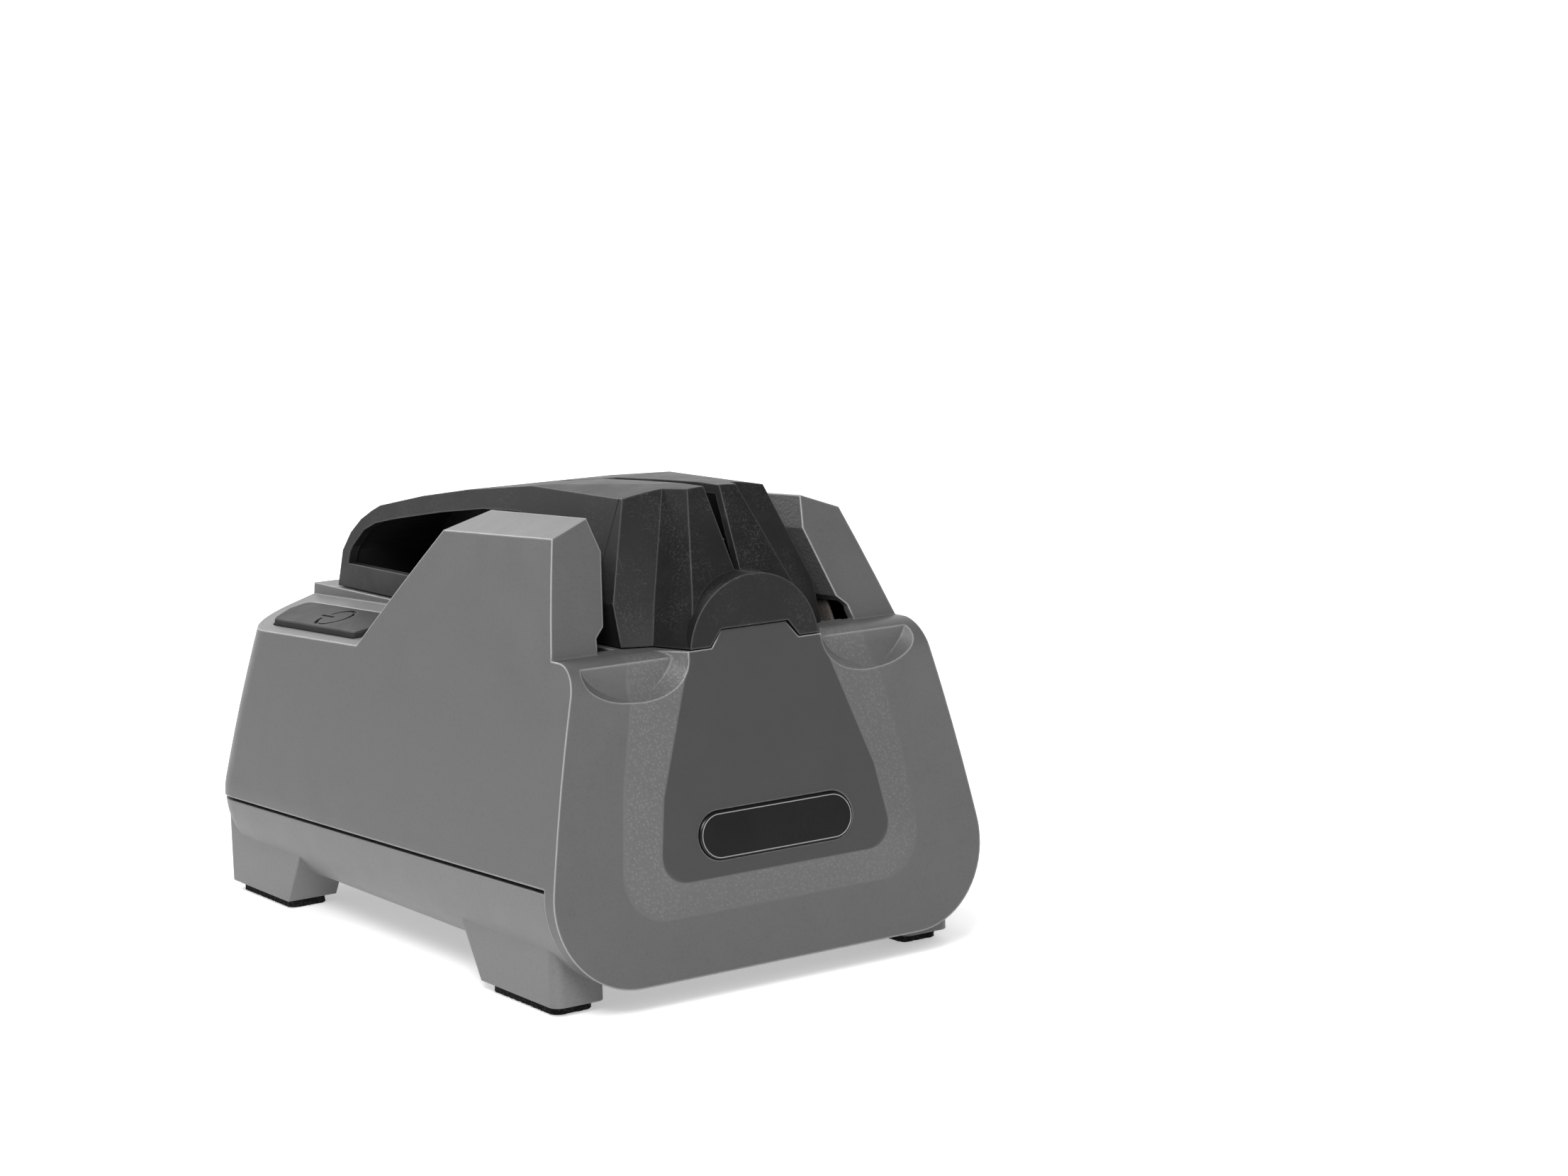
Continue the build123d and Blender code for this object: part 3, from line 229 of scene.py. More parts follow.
class Graph:
    """Adds and wires the nodes of one node tree."""

    COLUMN_WIDTH = 190
    MIX_FACTOR, MIX_FIRST, MIX_SECOND, MIX_RESULT = 0, 6, 7, 2    # the colour sockets of a Mix node

    def __init__(self, tree: bpy.types.NodeTree) -> None:
        """Keeps the tree and where the next node goes.

        Args:
            tree: The node tree to build in.
        """
        self.tree = tree
        self.column = 0

    def _node(self, kind: str) -> bpy.types.Node:
        """Adds a bare node to the right of the last one.

        Args:
            kind: Full type of the node.

        Returns:
            The new node.
        """
        node = self.tree.nodes.new(kind)
        node.location = (self.column * self.COLUMN_WIDTH, 0)
        self.column += 1
        return node

    def add(self, kind: str, props: Optional[Dict[str, object]] = None, **inputs: object) -> bpy.types.Node:
        """Adds a node.

        Args:
            kind: Type of the node, without its ShaderNode prefix.
            props: Properties to set on the node.
            **inputs: Values or sockets for its inputs, by name with _ for a space, or by number as i0 or i1.

        Returns:
            The new node.
        """
        node = self._node(kind if kind.startswith("Node") else "ShaderNode" + kind)
        for name, value in (props or {}).items():
            setattr(node, name, value)
        for name, value in inputs.items():
            key = int(name[1:]) if name[0] == "i" and name[1:].isdigit() else name.replace("_", " ")
            socket = node.inputs[key]
            if isinstance(value, bpy.types.NodeSocket):
                self.tree.links.new(value, socket)
            else:
                socket.default_value = value
        return node

    def math(self, operation: str, first: object, second: object = 0.0, clamp: bool = False
             ) -> bpy.types.NodeSocket:
        """Adds a Math node.

        Args:
            operation: What it computes.
            first: First value or socket.
            second: Second value or socket.
            clamp: Whether the result is kept within 0 to 1.

        Returns:
            The result.
        """
        return self.add("Math", {"operation": operation, "use_clamp": clamp}, i0=first, i1=second).outputs[0]

    def span(self, value: object, low: float, high: float, to_low: float = 0.0, to_high: float = 1.0
             ) -> bpy.types.NodeSocket:
        """Maps a range smoothly onto another.

        Args:
            value: The socket to map.
            low: Start of its range.
            high: End of its range.
            to_low: Result at low.
            to_high: Result at high.

        Returns:
            The mapped value.
        """
        return self.add("MapRange", {"interpolation_type": "SMOOTHSTEP"}, Value=value, From_Min=low,
                        From_Max=high, To_Min=to_low, To_Max=to_high).outputs[0]

    def blend(self, factor: object, first: object, second: object) -> bpy.types.NodeSocket:
        """Mixes two colours.

        Args:
            factor: Share of the second.
            first: First colour.
            second: Second colour.

        Returns:
            The mixed colour.
        """
        node = self._node("ShaderNodeMix")
        node.data_type = "RGBA"
        for index, value in ((self.MIX_FACTOR, factor), (self.MIX_FIRST, first), (self.MIX_SECOND, second)):
            if isinstance(value, bpy.types.NodeSocket):
                self.tree.links.new(value, node.inputs[index])
            else:
                node.inputs[index].default_value = (*value, 1.0) if isinstance(value, tuple) else value
        return node.outputs[self.MIX_RESULT]


class EffectLibrary:
    """Shader node groups that several materials share."""

    PEBBLE_DEPTH = 0.7                                # depth of the pebbles against the fine grain
    FIBRE_STRETCH = (1.0, 0.06, 0.06)                 # lines run across the X axis, which the shaft turns on
    CELL_ROUGHNESS, PIT_HEIGHTS = 0.6, (0.35, 0.75)   # fine roughness of a cell, and where it reads as a pit
    EDGE_RADIUS, EDGE_TURN = 0.7 * MM, (0.01, 0.12)   # how far an edge is rounded, and the turn that shows it
    CREASE_REACH, CREASE_OPEN = 2.5 * MM, (0.70, 0.92)    # a crease is closed in within this reach
    RUB_PATCH, RUB_START, RUB_GAIN, RUB_SHARP = 3.5 * MM, 0.72, 0.4, 6.0
    DUST_SLOPES, DUST_LIES = (-0.3, 1.0), (0.35, 1.0)     # upward part of the normal, and what lies there
    SPECK, SPECK_SHOWN = 0.45 * MM, (0.45, 0.75)
    CLOUD, CLOUD_SHOWN = 9.0 * MM, (0.35, 0.75)
    HAIRLINE, HAIRLINE_SHOWN = 0.8 * MM, (0.70, 0.76)
    HAIRLINE_WAYS = ((1.0, 0.05, 0.09), (0.06, 1.0, 0.8))
    RUBBED_AREA, RUBBED_SHOWN = 11.0 * MM, (0.42, 0.62)
    FRONT_STARTS = (-73.5 * MM, -72.5 * MM)           # along Y, where the front turns into the sides
    TOWERS_START = (76.6 * MM, 77.2 * MM)             # height of the towers' feet
    INWARD_FACING = (0.15, 0.3)                       # part of the normal that points at the middle

    def __init__(self) -> None:
        """Builds every group once."""
        self.grain = self._group("surface_grain", {"Size": 0.4 * MM}, ("Height",), self._grain)
        self.fibre = self._group("brushed_grain", {"Size": 0.3 * MM}, ("Height",), self._fibre)
        self.cells = self._group("open_cells", {"Size": 1.0 * MM}, ("Height", "Pit"), self._cells)
        self.wear = self._group("edge_wear_and_highlight", {"Amount": 0.3}, ("Mask", "Edge"), self._wear)
        self.dust = self._group("settled_dust", {"Amount": 0.2}, ("Mask",), self._dust)
        self.scratch = self._group("fine_scratches", {"Amount": 0.2}, ("Mask",), self._scratch)
        self.mottle = self._group("mottle", {"Size": 12.0 * MM}, ("Value",), self._mottle)
        self.panel = self._group("front_panel", {}, ("Band", "Smooth", "Inner"), self._panel)

    @staticmethod
    def _group(name: str, inputs: Dict[str, float], outputs: Tuple[str, ...], fill: Fill
               ) -> bpy.types.NodeTree:
        """Makes a group with its sockets and lets a method fill it.

        Args:
            name: Name of the group.
            inputs: Its inputs and their defaults.
            outputs: Its outputs.
            fill: Method that wires the inside.

        Returns:
            The group.
        """
        tree = bpy.data.node_groups.new(name, "ShaderNodeTree")
        for key, value in inputs.items():
            socket = tree.interface.new_socket(key, in_out="INPUT", socket_type="NodeSocketFloat")
            socket.default_value = value
        for key in outputs:
            tree.interface.new_socket(key, in_out="OUTPUT", socket_type="NodeSocketFloat")
        graph = Graph(tree)
        results = fill(graph, graph.add("NodeGroupInput"))
        target = graph.add("NodeGroupOutput")
        for key, socket in results.items():
            tree.links.new(socket, target.inputs[key])
        return tree

    @staticmethod
    def _place(graph: Graph, size: object, stretch: Point = (1.0, 1.0, 1.0)) -> bpy.types.NodeSocket:
        """Object coordinates counted in grains of a size.

        Args:
            graph: Where the nodes go.
            size: Grain size in metres.
            stretch: How much finer the grain is along each axis.

        Returns:
            The scaled coordinates.
        """
        where = graph.add("TexCoord").outputs["Object"]
        count = graph.math("DIVIDE", 1.0, size)
        counted = graph.add("VectorMath", {"operation": "SCALE"}, i0=where, i3=count).outputs[0]
        return graph.add("VectorMath", {"operation": "MULTIPLY"}, i0=counted, i1=stretch).outputs[0]

    def _grain(self, graph: Graph, source: bpy.types.Node) -> Sockets:
        """Fine pebbled grain of a spark-eroded mould.

        Args:
            graph: Where the nodes go.
            source: Inputs of the group.

        Returns:
            The height of the grain.
        """
        place = self._place(graph, source.outputs["Size"])
        fine = graph.add("TexNoise", Vector=place, Scale=1.0, Detail=2.0, Roughness=0.6).outputs[0]
        pebble = graph.add("TexVoronoi", {"feature": "SMOOTH_F1"}, Vector=place, Scale=0.8).outputs[0]
        return {"Height": graph.math("SUBTRACT", fine, graph.math("MULTIPLY", pebble, self.PEBBLE_DEPTH))}

    def _fibre(self, graph: Graph, source: bpy.types.Node) -> Sockets:
        """Lines of a turned or drawn metal."""
        place = self._place(graph, source.outputs["Size"], self.FIBRE_STRETCH)
        return {"Height": graph.add("TexNoise", Vector=place, Scale=1.0, Detail=2.0).outputs[0]}

    def _cells(self, graph: Graph, source: bpy.types.Node) -> Sockets:
        """Open cells of a foam, or loose grit.

        Args:
            graph: Where the nodes go.
            source: Inputs of the group.

        Returns:
            The height of the cells and a mask of their pits.
        """
        place = self._place(graph, source.outputs["Size"])
        cell = graph.add("TexVoronoi", {"feature": "F1"}, Vector=place, Scale=1.0, Randomness=1.0).outputs[0]
        rough = graph.add("TexNoise", Vector=place, Scale=2.3, Detail=3.0).outputs[0]
        height = graph.math("ADD", cell, graph.math("MULTIPLY", rough, self.CELL_ROUGHNESS))
        return {"Height": height, "Pit": graph.span(height, *self.PIT_HEIGHTS)}

    def _wear(self, graph: Graph, source: bpy.types.Node) -> Sockets:
        """Edges, where a rounded normal leaves the true one, kept off closed-in creases, and the patches of
        them that are rubbed.

        Args:
            graph: Where the nodes go.
            source: Inputs of the group.

        Returns:
            A mask of the rubbed patches and one of all edges, which also carries the painted edge highlight.
        """
        rounded = graph.add("Bevel", {"samples": 6}, Radius=self.EDGE_RADIUS).outputs[0]
        true = graph.add("NewGeometry").outputs["True Normal"]
        alike = graph.add("VectorMath", {"operation": "DOT_PRODUCT"}, i0=rounded, i1=true).outputs["Value"]
        turned = graph.span(graph.math("SUBTRACT", 1.0, alike), *self.EDGE_TURN)
        clear = graph.add("AmbientOcclusion", {"samples": 4}, Distance=self.CREASE_REACH).outputs["AO"]
        edge = graph.math("MULTIPLY", turned, graph.span(clear, *self.CREASE_OPEN))
        place = self._place(graph, self.RUB_PATCH)
        patch = graph.add("TexNoise", Vector=place, Scale=1.0, Detail=4.0, Roughness=0.7).outputs[0]
        gain = graph.math("MULTIPLY", source.outputs["Amount"], self.RUB_GAIN)
        start = graph.math("SUBTRACT", self.RUB_START, gain)
        broken = graph.math("MULTIPLY", graph.math("SUBTRACT", patch, start), self.RUB_SHARP, clamp=True)
        return {"Mask": graph.math("MULTIPLY", edge, broken), "Edge": edge}

    @staticmethod
    def _field(graph: Graph, across: bpy.types.NodeSocket, height: bpy.types.NodeSocket, shape: Field
               ) -> bpy.types.NodeSocket:
        """Mask of a field of the front, from signed distances to its edges.

        Args:
            graph: Where the nodes go.
            across: Distance from the middle.
            height: Height above the table.
            shape: The field.

        Returns:
            1 inside the field and 0 outside it.
        """
        sides = []
        for (x1, z1), (x2, z2) in zip(shape.edge_mm, shape.edge_mm[1:]):
            length = math.hypot(x2 - x1, z2 - z1)
            nx, nz = (z1 - z2) / length, (x2 - x1) / length
            reach = graph.math("ADD", graph.math("MULTIPLY", across, nx), graph.math("MULTIPLY", height, nz))
            sides.append(graph.math("SUBTRACT", reach, (x1 * nx + z1 * nz - shape.corner_mm) * MM))
        side = graph.math("MAXIMUM", graph.math("MAXIMUM", *sides), 0.0)
        foot = (shape.edge_mm[-1][1] + shape.corner_mm) * MM
        under = graph.math("MAXIMUM", graph.math("SUBTRACT", foot, height), 0.0)
        squares = graph.math("ADD", graph.math("MULTIPLY", side, side), graph.math("MULTIPLY", under, under))
        inner, outer = ((shape.corner_mm + way * shape.soft_mm) * MM for way in (-1, 1))
        return graph.span(graph.math("SQRT", squares), inner, outer, 1.0, 0.0)

    def _panel(self, graph: Graph, source: bpy.types.Node) -> Sockets:
        """Zones of the upper housing: smooth front panel, coarse band round it, inner sides of the towers.

        Args:
            graph: Where the nodes go.
            source: Inputs of the group, of which it has none; not used.

        Returns:
            A mask of each zone.
        """
        axes = graph.add("SeparateXYZ", i0=graph.add("TexCoord").outputs["Object"]).outputs
        front = graph.span(axes[1], *self.FRONT_STARTS, 1.0, 0.0)
        across = graph.math("ABSOLUTE", axes[0])
        coarse, smooth = (graph.math("MULTIPLY", self._field(graph, across, axes[2], shape), front)
                          for shape in (COARSE_FIELD, SMOOTH_FIELD))
        facing = graph.add("SeparateXYZ", i0=graph.add("NewGeometry").outputs["True Normal"]).outputs[0]
        inward = graph.math("MULTIPLY", graph.math("SIGN", axes[0]), graph.math("MULTIPLY", facing, -1.0))
        inner = graph.math("MULTIPLY", graph.span(axes[2], *self.TOWERS_START),
                           graph.span(inward, *self.INWARD_FACING))
        return {"Band": graph.math("SUBTRACT", coarse, smooth, clamp=True), "Smooth": smooth, "Inner": inner}

    def _dust(self, graph: Graph, source: bpy.types.Node) -> Sockets:
        """Dust: clouds of fine specks, thicker on what faces up.

        Args:
            graph: Where the nodes go.
            source: Inputs of the group.

        Returns:
            A mask of the dust.
        """
        up = graph.add("SeparateXYZ", i0=graph.add("NewGeometry").outputs["Normal"]).outputs[2]
        lie = graph.span(up, *self.DUST_SLOPES, *self.DUST_LIES)
        near, far = self._place(graph, self.SPECK), self._place(graph, self.CLOUD)
        specks = graph.add("TexNoise", Vector=near, Scale=1.0, Detail=3.0).outputs[0]
        clouds = graph.add("TexNoise", Vector=far, Scale=1.0, Detail=4.0).outputs[0]
        both = graph.math("MULTIPLY", graph.span(specks, *self.SPECK_SHOWN),
                          graph.span(clouds, *self.CLOUD_SHOWN))
        return {"Mask": graph.math("MULTIPLY", graph.math("MULTIPLY", both, lie), source.outputs["Amount"])}

    def _scratch(self, graph: Graph, source: bpy.types.Node) -> Sockets:
        """Hairline scratches in two directions.

        Args:
            graph: Where the nodes go.
            source: Inputs of the group.

        Returns:
            A mask of the scratches.
        """
        ways = []
        for stretch in self.HAIRLINE_WAYS:
            place = self._place(graph, self.HAIRLINE, stretch)
            line = graph.add("TexNoise", Vector=place, Scale=1.0, Detail=1.0).outputs[0]
            ways.append(graph.span(line, *self.HAIRLINE_SHOWN))
        place = self._place(graph, self.RUBBED_AREA)
        area = graph.add("TexNoise", Vector=place, Scale=1.0, Detail=2.0).outputs[0]
        shown = graph.math("MULTIPLY", graph.math("MAXIMUM", *ways), graph.span(area, *self.RUBBED_SHOWN))
        return {"Mask": graph.math("MULTIPLY", shown, source.outputs["Amount"])}

    def _mottle(self, graph: Graph, source: bpy.types.Node) -> Sockets:
        """Slow wandering of tone and gloss."""
        place = self._place(graph, source.outputs["Size"])
        return {"Value": graph.add("TexNoise", Vector=place, Scale=1.0, Detail=5.0,
                                   Roughness=0.62).outputs[0]}


@dataclass
class Surface:
    """A material while its layers are put on.

    Attributes:
        finish: What the surface is like.
        graph: Node tree of the material.
        colour: Colour so far.
        rough: Roughness so far.
        height: Height of the grain so far.
    """

    finish: Finish
    graph: Graph
    colour: Optional[bpy.types.NodeSocket] = None
    rough: Optional[bpy.types.NodeSocket] = None
    height: Optional[bpy.types.NodeSocket] = None

    def group(self, tree: bpy.types.NodeTree, **inputs: float) -> bpy.types.Node:
        """Places a shared group.

        Args:
            tree: The group.
            **inputs: Values of its inputs.

        Returns:
            The node that holds it.
        """
        node = self.graph.add("Group", {"node_tree": tree})
        for name, value in inputs.items():
            node.inputs[name].default_value = value
        return node

    def cover(self, mask: bpy.types.NodeSocket, colour: Colour) -> None:
        """Lays a colour over the surface where a mask is."""
        self.colour = self.graph.blend(mask, self.colour, colour)

    def tint(self, mask: bpy.types.NodeSocket, share: float) -> None:
        """Lays a lighter or darker tone of the finish where a mask is."""
        self.cover(mask, scaled(self.finish.colour, share))


@dataclass
class Painter:
    """Turns finishes into materials.

    Attributes:
        effects: The node groups that the materials use.
        front: Look of the moulded front.
        made: Materials made so far, by slot.
        mottle_size: Size of the patches that the tone wanders in.
        mottle_tone: Values of the mottle over which the tone changes.
        mottle_gloss: Values of the mottle over which the roughness changes.
        gloss_share: Share of the roughness that it wanders by.
        hollow: Tone of the painted shade in the pits of foam and grit.
        peak: Tone of the painted highlight on the peaks of moulded grain.
        peak_share: How strongly the peaks show, 0 to 1.
        peak_heights: Heights of the grain over which they fade in.
        dust_dulls: How much rougher dust makes a surface.
        bevel_rays: Samples that round the edges.
    """

    effects: EffectLibrary
    front: FrontLook = FrontLook()
    made: Dict[str, bpy.types.Material] = field(default_factory=dict)
    mottle_size: float = 11.0 * MM
    mottle_tone: Span = (0.25, 0.75)
    mottle_gloss: Span = (0.2, 0.8)
    gloss_share: float = 0.12
    hollow: float = 0.35
    peak: float = 1.45
    peak_share: float = 0.30
    peak_heights: Span = (-0.25, 0.35)
    dust_dulls: float = 0.4
    bevel_rays: int = 6

    def material(self, finish: Finish) -> bpy.types.Material:
        """Builds the material of a finish, once.

        Args:
            finish: What the surface is like.

        Returns:
            The material.
        """
        if finish.slot not in self.made:
            made = bpy.data.materials.get(finish.slot) or bpy.data.materials.new(finish.slot)
            made.use_nodes = True
            made.node_tree.nodes.clear()
            surface = Surface(finish, Graph(made.node_tree))
            self._ground(surface)
            self._texture(surface)
            if finish.panelled:
                self._front(surface)
            self._marks(surface)
            self._shader(surface)
            self.made[finish.slot] = made
        return self.made[finish.slot]

    def _ground(self, surface: Surface) -> None:
        """Colour and roughness, which both wander a little.

        Args:
            surface: What is painted.
        """
        graph, finish = surface.graph, surface.finish
        mottle = surface.group(self.effects.mottle, Size=self.mottle_size).outputs[0]
        dark, light = (scaled(finish.colour, 1 + way * finish.mottle) for way in (-1, 1))
        surface.colour = graph.blend(graph.span(mottle, *self.mottle_tone), dark, light)
        smooth, dull = (min(1.0, finish.roughness * (1 + way * self.gloss_share)) for way in (-1, 1))
        surface.rough = graph.span(mottle, *self.mottle_gloss, smooth, dull)

    def _texture(self, surface: Surface) -> None:
        """Grain, with painted shade in the pits of foam and grit and a painted highlight on the peaks of
        moulded grain.

        Args:
            surface: What is painted.
        """
        finish = surface.finish
        if finish.texture in (Texture.FOAM, Texture.GRIT):
            cells = surface.group(self.effects.cells, Size=finish.grain_mm * MM)
            surface.height = cells.outputs["Height"]
            # painted shade: the pits of foam and grit are darkened
            surface.tint(cells.outputs["Pit"], self.hollow)
        else:
            tree = self.effects.fibre if finish.texture is Texture.BRUSHED else self.effects.grain
            surface.height = surface.group(tree, Size=finish.grain_mm * MM).outputs[0]
        # painted highlight: the peaks of the spark grain are lightened
        if finish.texture is Texture.SPARK:
            peaks = surface.graph.span(surface.height, *self.peak_heights)
            surface.tint(surface.graph.math("MULTIPLY", peaks, self.peak_share), self.peak)

    def _front(self, surface: Surface) -> None:
        """Smooth panel, coarse band and coarse inner sides of the towers, with tones that are partly painted
        light and shade.

        Args:
            surface: What is painted.
        """
        graph, look = surface.graph, self.front
        zones = surface.group(self.effects.panel).outputs
        coarse = surface.group(self.effects.cells, Size=look.grain).outputs["Height"]
        # painted shade and light: the smooth panel is darkened, the band and the inward-facing tower sides
        # are lightened
        surface.tint(zones["Smooth"], look.smooth)
        surface.tint(zones["Band"], look.band)
        surface.tint(zones["Inner"], look.inner)
        gloss = graph.math("MULTIPLY", zones["Smooth"], look.gloss)
        surface.rough = graph.math("SUBTRACT", surface.rough, gloss)
        grained = graph.math("MAXIMUM", zones["Band"], zones["Inner"])
        # painted shade: darker between the coarse grains of the band and the towers' inner sides
        pits = graph.math("MULTIPLY", graph.span(coarse, *look.pit_heights),
                          graph.math("MULTIPLY", grained, look.pit_share))
        surface.tint(pits, look.pit)
        relief = graph.math("MULTIPLY", graph.math("MULTIPLY", coarse, grained), look.relief)
        surface.height = graph.math("ADD", surface.height, relief)

    def _marks(self, surface: Surface) -> None:
        """Scratches, painted highlights along the edges, rubbed edges and dust.

        Args:
            surface: What is painted.
        """
        graph, finish = surface.graph, surface.finish
        if finish.scratch:
            lines = surface.group(self.effects.scratch, Amount=finish.scratch).outputs[0]
            surface.cover(lines, finish.wear_and_highlight_colour)
        if finish.wear:
            edges = surface.group(self.effects.wear, Amount=finish.wear).outputs
            # painted highlight: every rounded edge is lightened towards the wear colour, as much as
            # edge_light says
            surface.cover(graph.math("MULTIPLY", edges["Edge"], finish.edge_light), finish.wear_and_highlight_colour)
            surface.cover(edges["Mask"], finish.wear_and_highlight_colour)
        if finish.dust:
            dust = surface.group(self.effects.dust, Amount=finish.dust).outputs[0]
            surface.cover(dust, DUST_COLOUR)
            dulled = graph.math("MULTIPLY", dust, self.dust_dulls)
            surface.rough = graph.math("ADD", surface.rough, dulled, clamp=True)

    def _shader(self, surface: Surface) -> None:
        """Rounds the edges, raises the grain and closes the material.

        Args:
            surface: What is painted.
        """
        graph, finish = surface.graph, surface.finish
        rounded = graph.add("Bevel", {"samples": self.bevel_rays}, Radius=finish.edge_mm * MM).outputs[0]
        bump = graph.add("Bump", Height=surface.height, Normal=rounded, Strength=1.0,
                         Distance=finish.relief_mm * MM)
        shader = graph.add("BsdfPrincipled", Base_Color=surface.colour, Roughness=surface.rough,
                           Normal=bump.outputs[0], Metallic=finish.metallic, Coat_Weight=finish.coat,
                           Specular_IOR_Level=finish.specular)
        graph.add("OutputMaterial", Surface=shader.outputs[0])


def join_rings(mesh: bmesh.types.BMesh, rings: List[Ring], closed: bool = False) -> None:
    """Joins rings of vertices, in their order, with four-sided faces.

    Args:
        mesh: Where the faces go.
        rings: Rings with the same number of vertices.
        closed: Whether the last ring joins the first; otherwise both ends are capped.
    """
    following = rings[1:] + rings[:1] if closed else rings[1:]
    for lower, upper in zip(rings, following):
        for i in range(len(lower)):
            j = (i + 1) % len(lower)
            mesh.faces.new((lower[i], lower[j], upper[j], upper[i]))
    for end in () if closed else (rings[0], rings[-1]):
        mesh.faces.new(end)


@dataclass
class Pieces:
    """Meshes that are added to the CAD nodes, each riding on a body.

    Attributes:
        painter: Makes their materials.
        names: Names of the pieces so far.
    """

    painter: Painter
    names: List[str] = field(default_factory=list)

    def place(self, name: str, mesh: bmesh.types.BMesh, body: str, slot: str, replaces: Optional[str] = None,
              smooth: float = 35.0) -> bpy.types.Object:
        """Turns a bmesh into a piece of the object.

        Args:
            name: Name of the piece.
            mesh: Its shape, in metres; it is freed.
            body: The body it rides on.
            slot: Finish of the piece.
            replaces: CAD node that it stands for.
            smooth: Angle in degrees under which edges are shaded smooth.

        Returns:
            The object.
        """
        data = bpy.data.meshes.new(name)
        bmesh.ops.recalc_face_normals(mesh, faces=mesh.faces)
        mesh.to_mesh(data)
        mesh.free()
        data.polygons.foreach_set("use_smooth", [True] * len(data.polygons))
        data.set_sharp_from_angle(angle=math.radians(smooth))
        piece = bpy.data.objects.new(name, data)
        bpy.context.scene.collection.objects.link(piece)
        data.materials.append(self.painter.material(FINISHES[slot]))
        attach(piece, body)
        if replaces:
            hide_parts(replaces)
        self.names.append(name)
        LOG.info("piece %s: %d faces, rides on %s", name, len(data.polygons), body)
        return piece


@dataclass
class FootPads:
    """Four pads of open foam under the feet.

    Attributes:
        width: Size across the object.
        length: Size along the object.
        height: Thickness.
        corner: Radius of the corners.
        corner_steps: Parts that a corner is drawn in.
        step: Spacing of the points along the sides.
        rows: Rows of faces from the floor up.
        ragged: How far the cut sides wander.
        cut_back: Mean depth of the cut, in parts of ragged.
        tears: How finely the side is torn, in waves per metre, and how deeply, in parts of ragged.
        rim: How much further the upper and lower rims are cut back.
    """

    width: float = 10.4 * MM
    length: float = 27.9 * MM
    height: float = 2.2 * MM
    corner: float = 2.2 * MM
    corner_steps: int = 5
    step: float = 0.4 * MM
    rows: int = 7
    ragged: float = 0.55 * MM
    cut_back: float = 0.35
    tears: Tuple[Span, ...] = ((1900.0, 0.6), (4200.0, 0.4))
    rim: float = 0.1 * MM

    def build(self, pieces: Pieces) -> None:
        """Makes one piece for the four pads.

        Args:
            pieces: Where the piece goes.
        """
        low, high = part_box("foot_pads")
        mesh = bmesh.new()
        for x in (low[0] + self.width / 2, high[0] - self.width / 2):
            for y in (low[1] + self.length / 2, high[1] - self.length / 2):
                self._pad(mesh, Vector((x, y, low[2])))
        pieces.place("foam_pads", mesh, "base", "foam_black", replaces="foot_pads", smooth=80.0)

    def _pad(self, mesh: bmesh.types.BMesh, at: Vector) -> None:
        """Adds one pad with torn, pitted sides.

        Args:
            mesh: Where it goes.
            at: Middle of its underside.
        """
        rings = []
        for row in range(self.rows + 1):
            ring = []
            for x, y in self._outline():
                place = Vector((x, y, row / self.rows * self.height)) + at
                out = Vector((x / self.width, y / self.length, 0)).normalized()
                torn = sum(depth * noise.noise(place * waves) for waves, depth in self.tears)
                pull = self.ragged * (self.cut_back + torn)
                if row in (0, self.rows):
                    pull += self.rim
                ring.append(mesh.verts.new(place - out * max(0.0, pull)))
            rings.append(ring)
        join_rings(mesh, rings)

    def _outline(self) -> List[Span]:
        """Outline of a pad round its middle, with rounded corners.

        Returns:
            Its points, at most a step apart on the sides.
        """
        points: List[Span] = []
        for sx, sy, start in ((1, 1, 0), (-1, 1, 90), (-1, -1, 180), (1, -1, 270)):
            cx, cy = sx * (self.width / 2 - self.corner), sy * (self.length / 2 - self.corner)
            for i in range(self.corner_steps + 1):
                angle = math.radians(start + i * 90 / self.corner_steps)
                points.append((cx + self.corner * math.cos(angle), cy + self.corner * math.sin(angle)))
        dense: List[Span] = []
        for a, b in zip(points, points[1:] + points[:1]):
            count = max(1, int(math.dist(a, b) / self.step))
            dense += [(a[0] + (b[0] - a[0]) * k / count, a[1] + (b[1] - a[1]) * k / count)
                      for k in range(count)]
        return dense


@dataclass
class BadgeTrim:
    """Raised line inside the rim of the blank badge.

    Attributes:
        end: Radius of the plate's round ends.
        inset: Distance of the line from the rim.
        thick: Width of the line.
        rise: Height above the badge.
        sink: Depth of its foot in the badge.
        flank: Share of the width that each slanting flank takes.
        lean: Lean of the front face, in degrees.
        forward: Height that the front's slope is started above the plate's lowest point, to clear the plate.
        arc_steps: Parts that a round end is drawn in.
    """

    end: float = 5.3 * MM
    inset: float = 0.45 * MM
    thick: float = 0.26 * MM
    rise: float = 0.06 * MM
    sink: float = 0.02 * MM
    flank: float = 0.25
    lean: float = 8.6
    forward: float = 0.5 * MM
    arc_steps: int = 24

    def build(self, pieces: Pieces) -> None:
        """Makes the line as one closed band.

        Args:
            pieces: Where the piece goes.
        """
        low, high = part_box("badge_plate")
        slope = math.tan(math.radians(self.lean))
        half = (high[0] - low[0]) / 2 - self.end
        middle = (low[2] + high[2]) / 2
        front = low[1] + (middle - low[2] - self.forward) * slope
        section = ((0.0, -self.sink), (self.flank, self.rise), (1 - self.flank, self.rise), (1.0, -self.sink))
        mesh = bmesh.new()
        loops: List[Ring] = []
        for across, out in section:
            radius = self.end - self.inset - across * self.thick
            loop = []
            for side, start in ((1, -90), (-1, 90)):
                for i in range(self.arc_steps + 1):
                    angle = math.radians(start + i * 180 / self.arc_steps)
                    x, z = side * half + radius * math.cos(angle), radius * math.sin(angle)
                    loop.append(mesh.verts.new((x, front + z * slope - out, middle + z)))
            loops.append(loop)
        join_rings(mesh, loops, closed=True)
        pieces.place("badge_rim_line", mesh, "base", "badge_line")


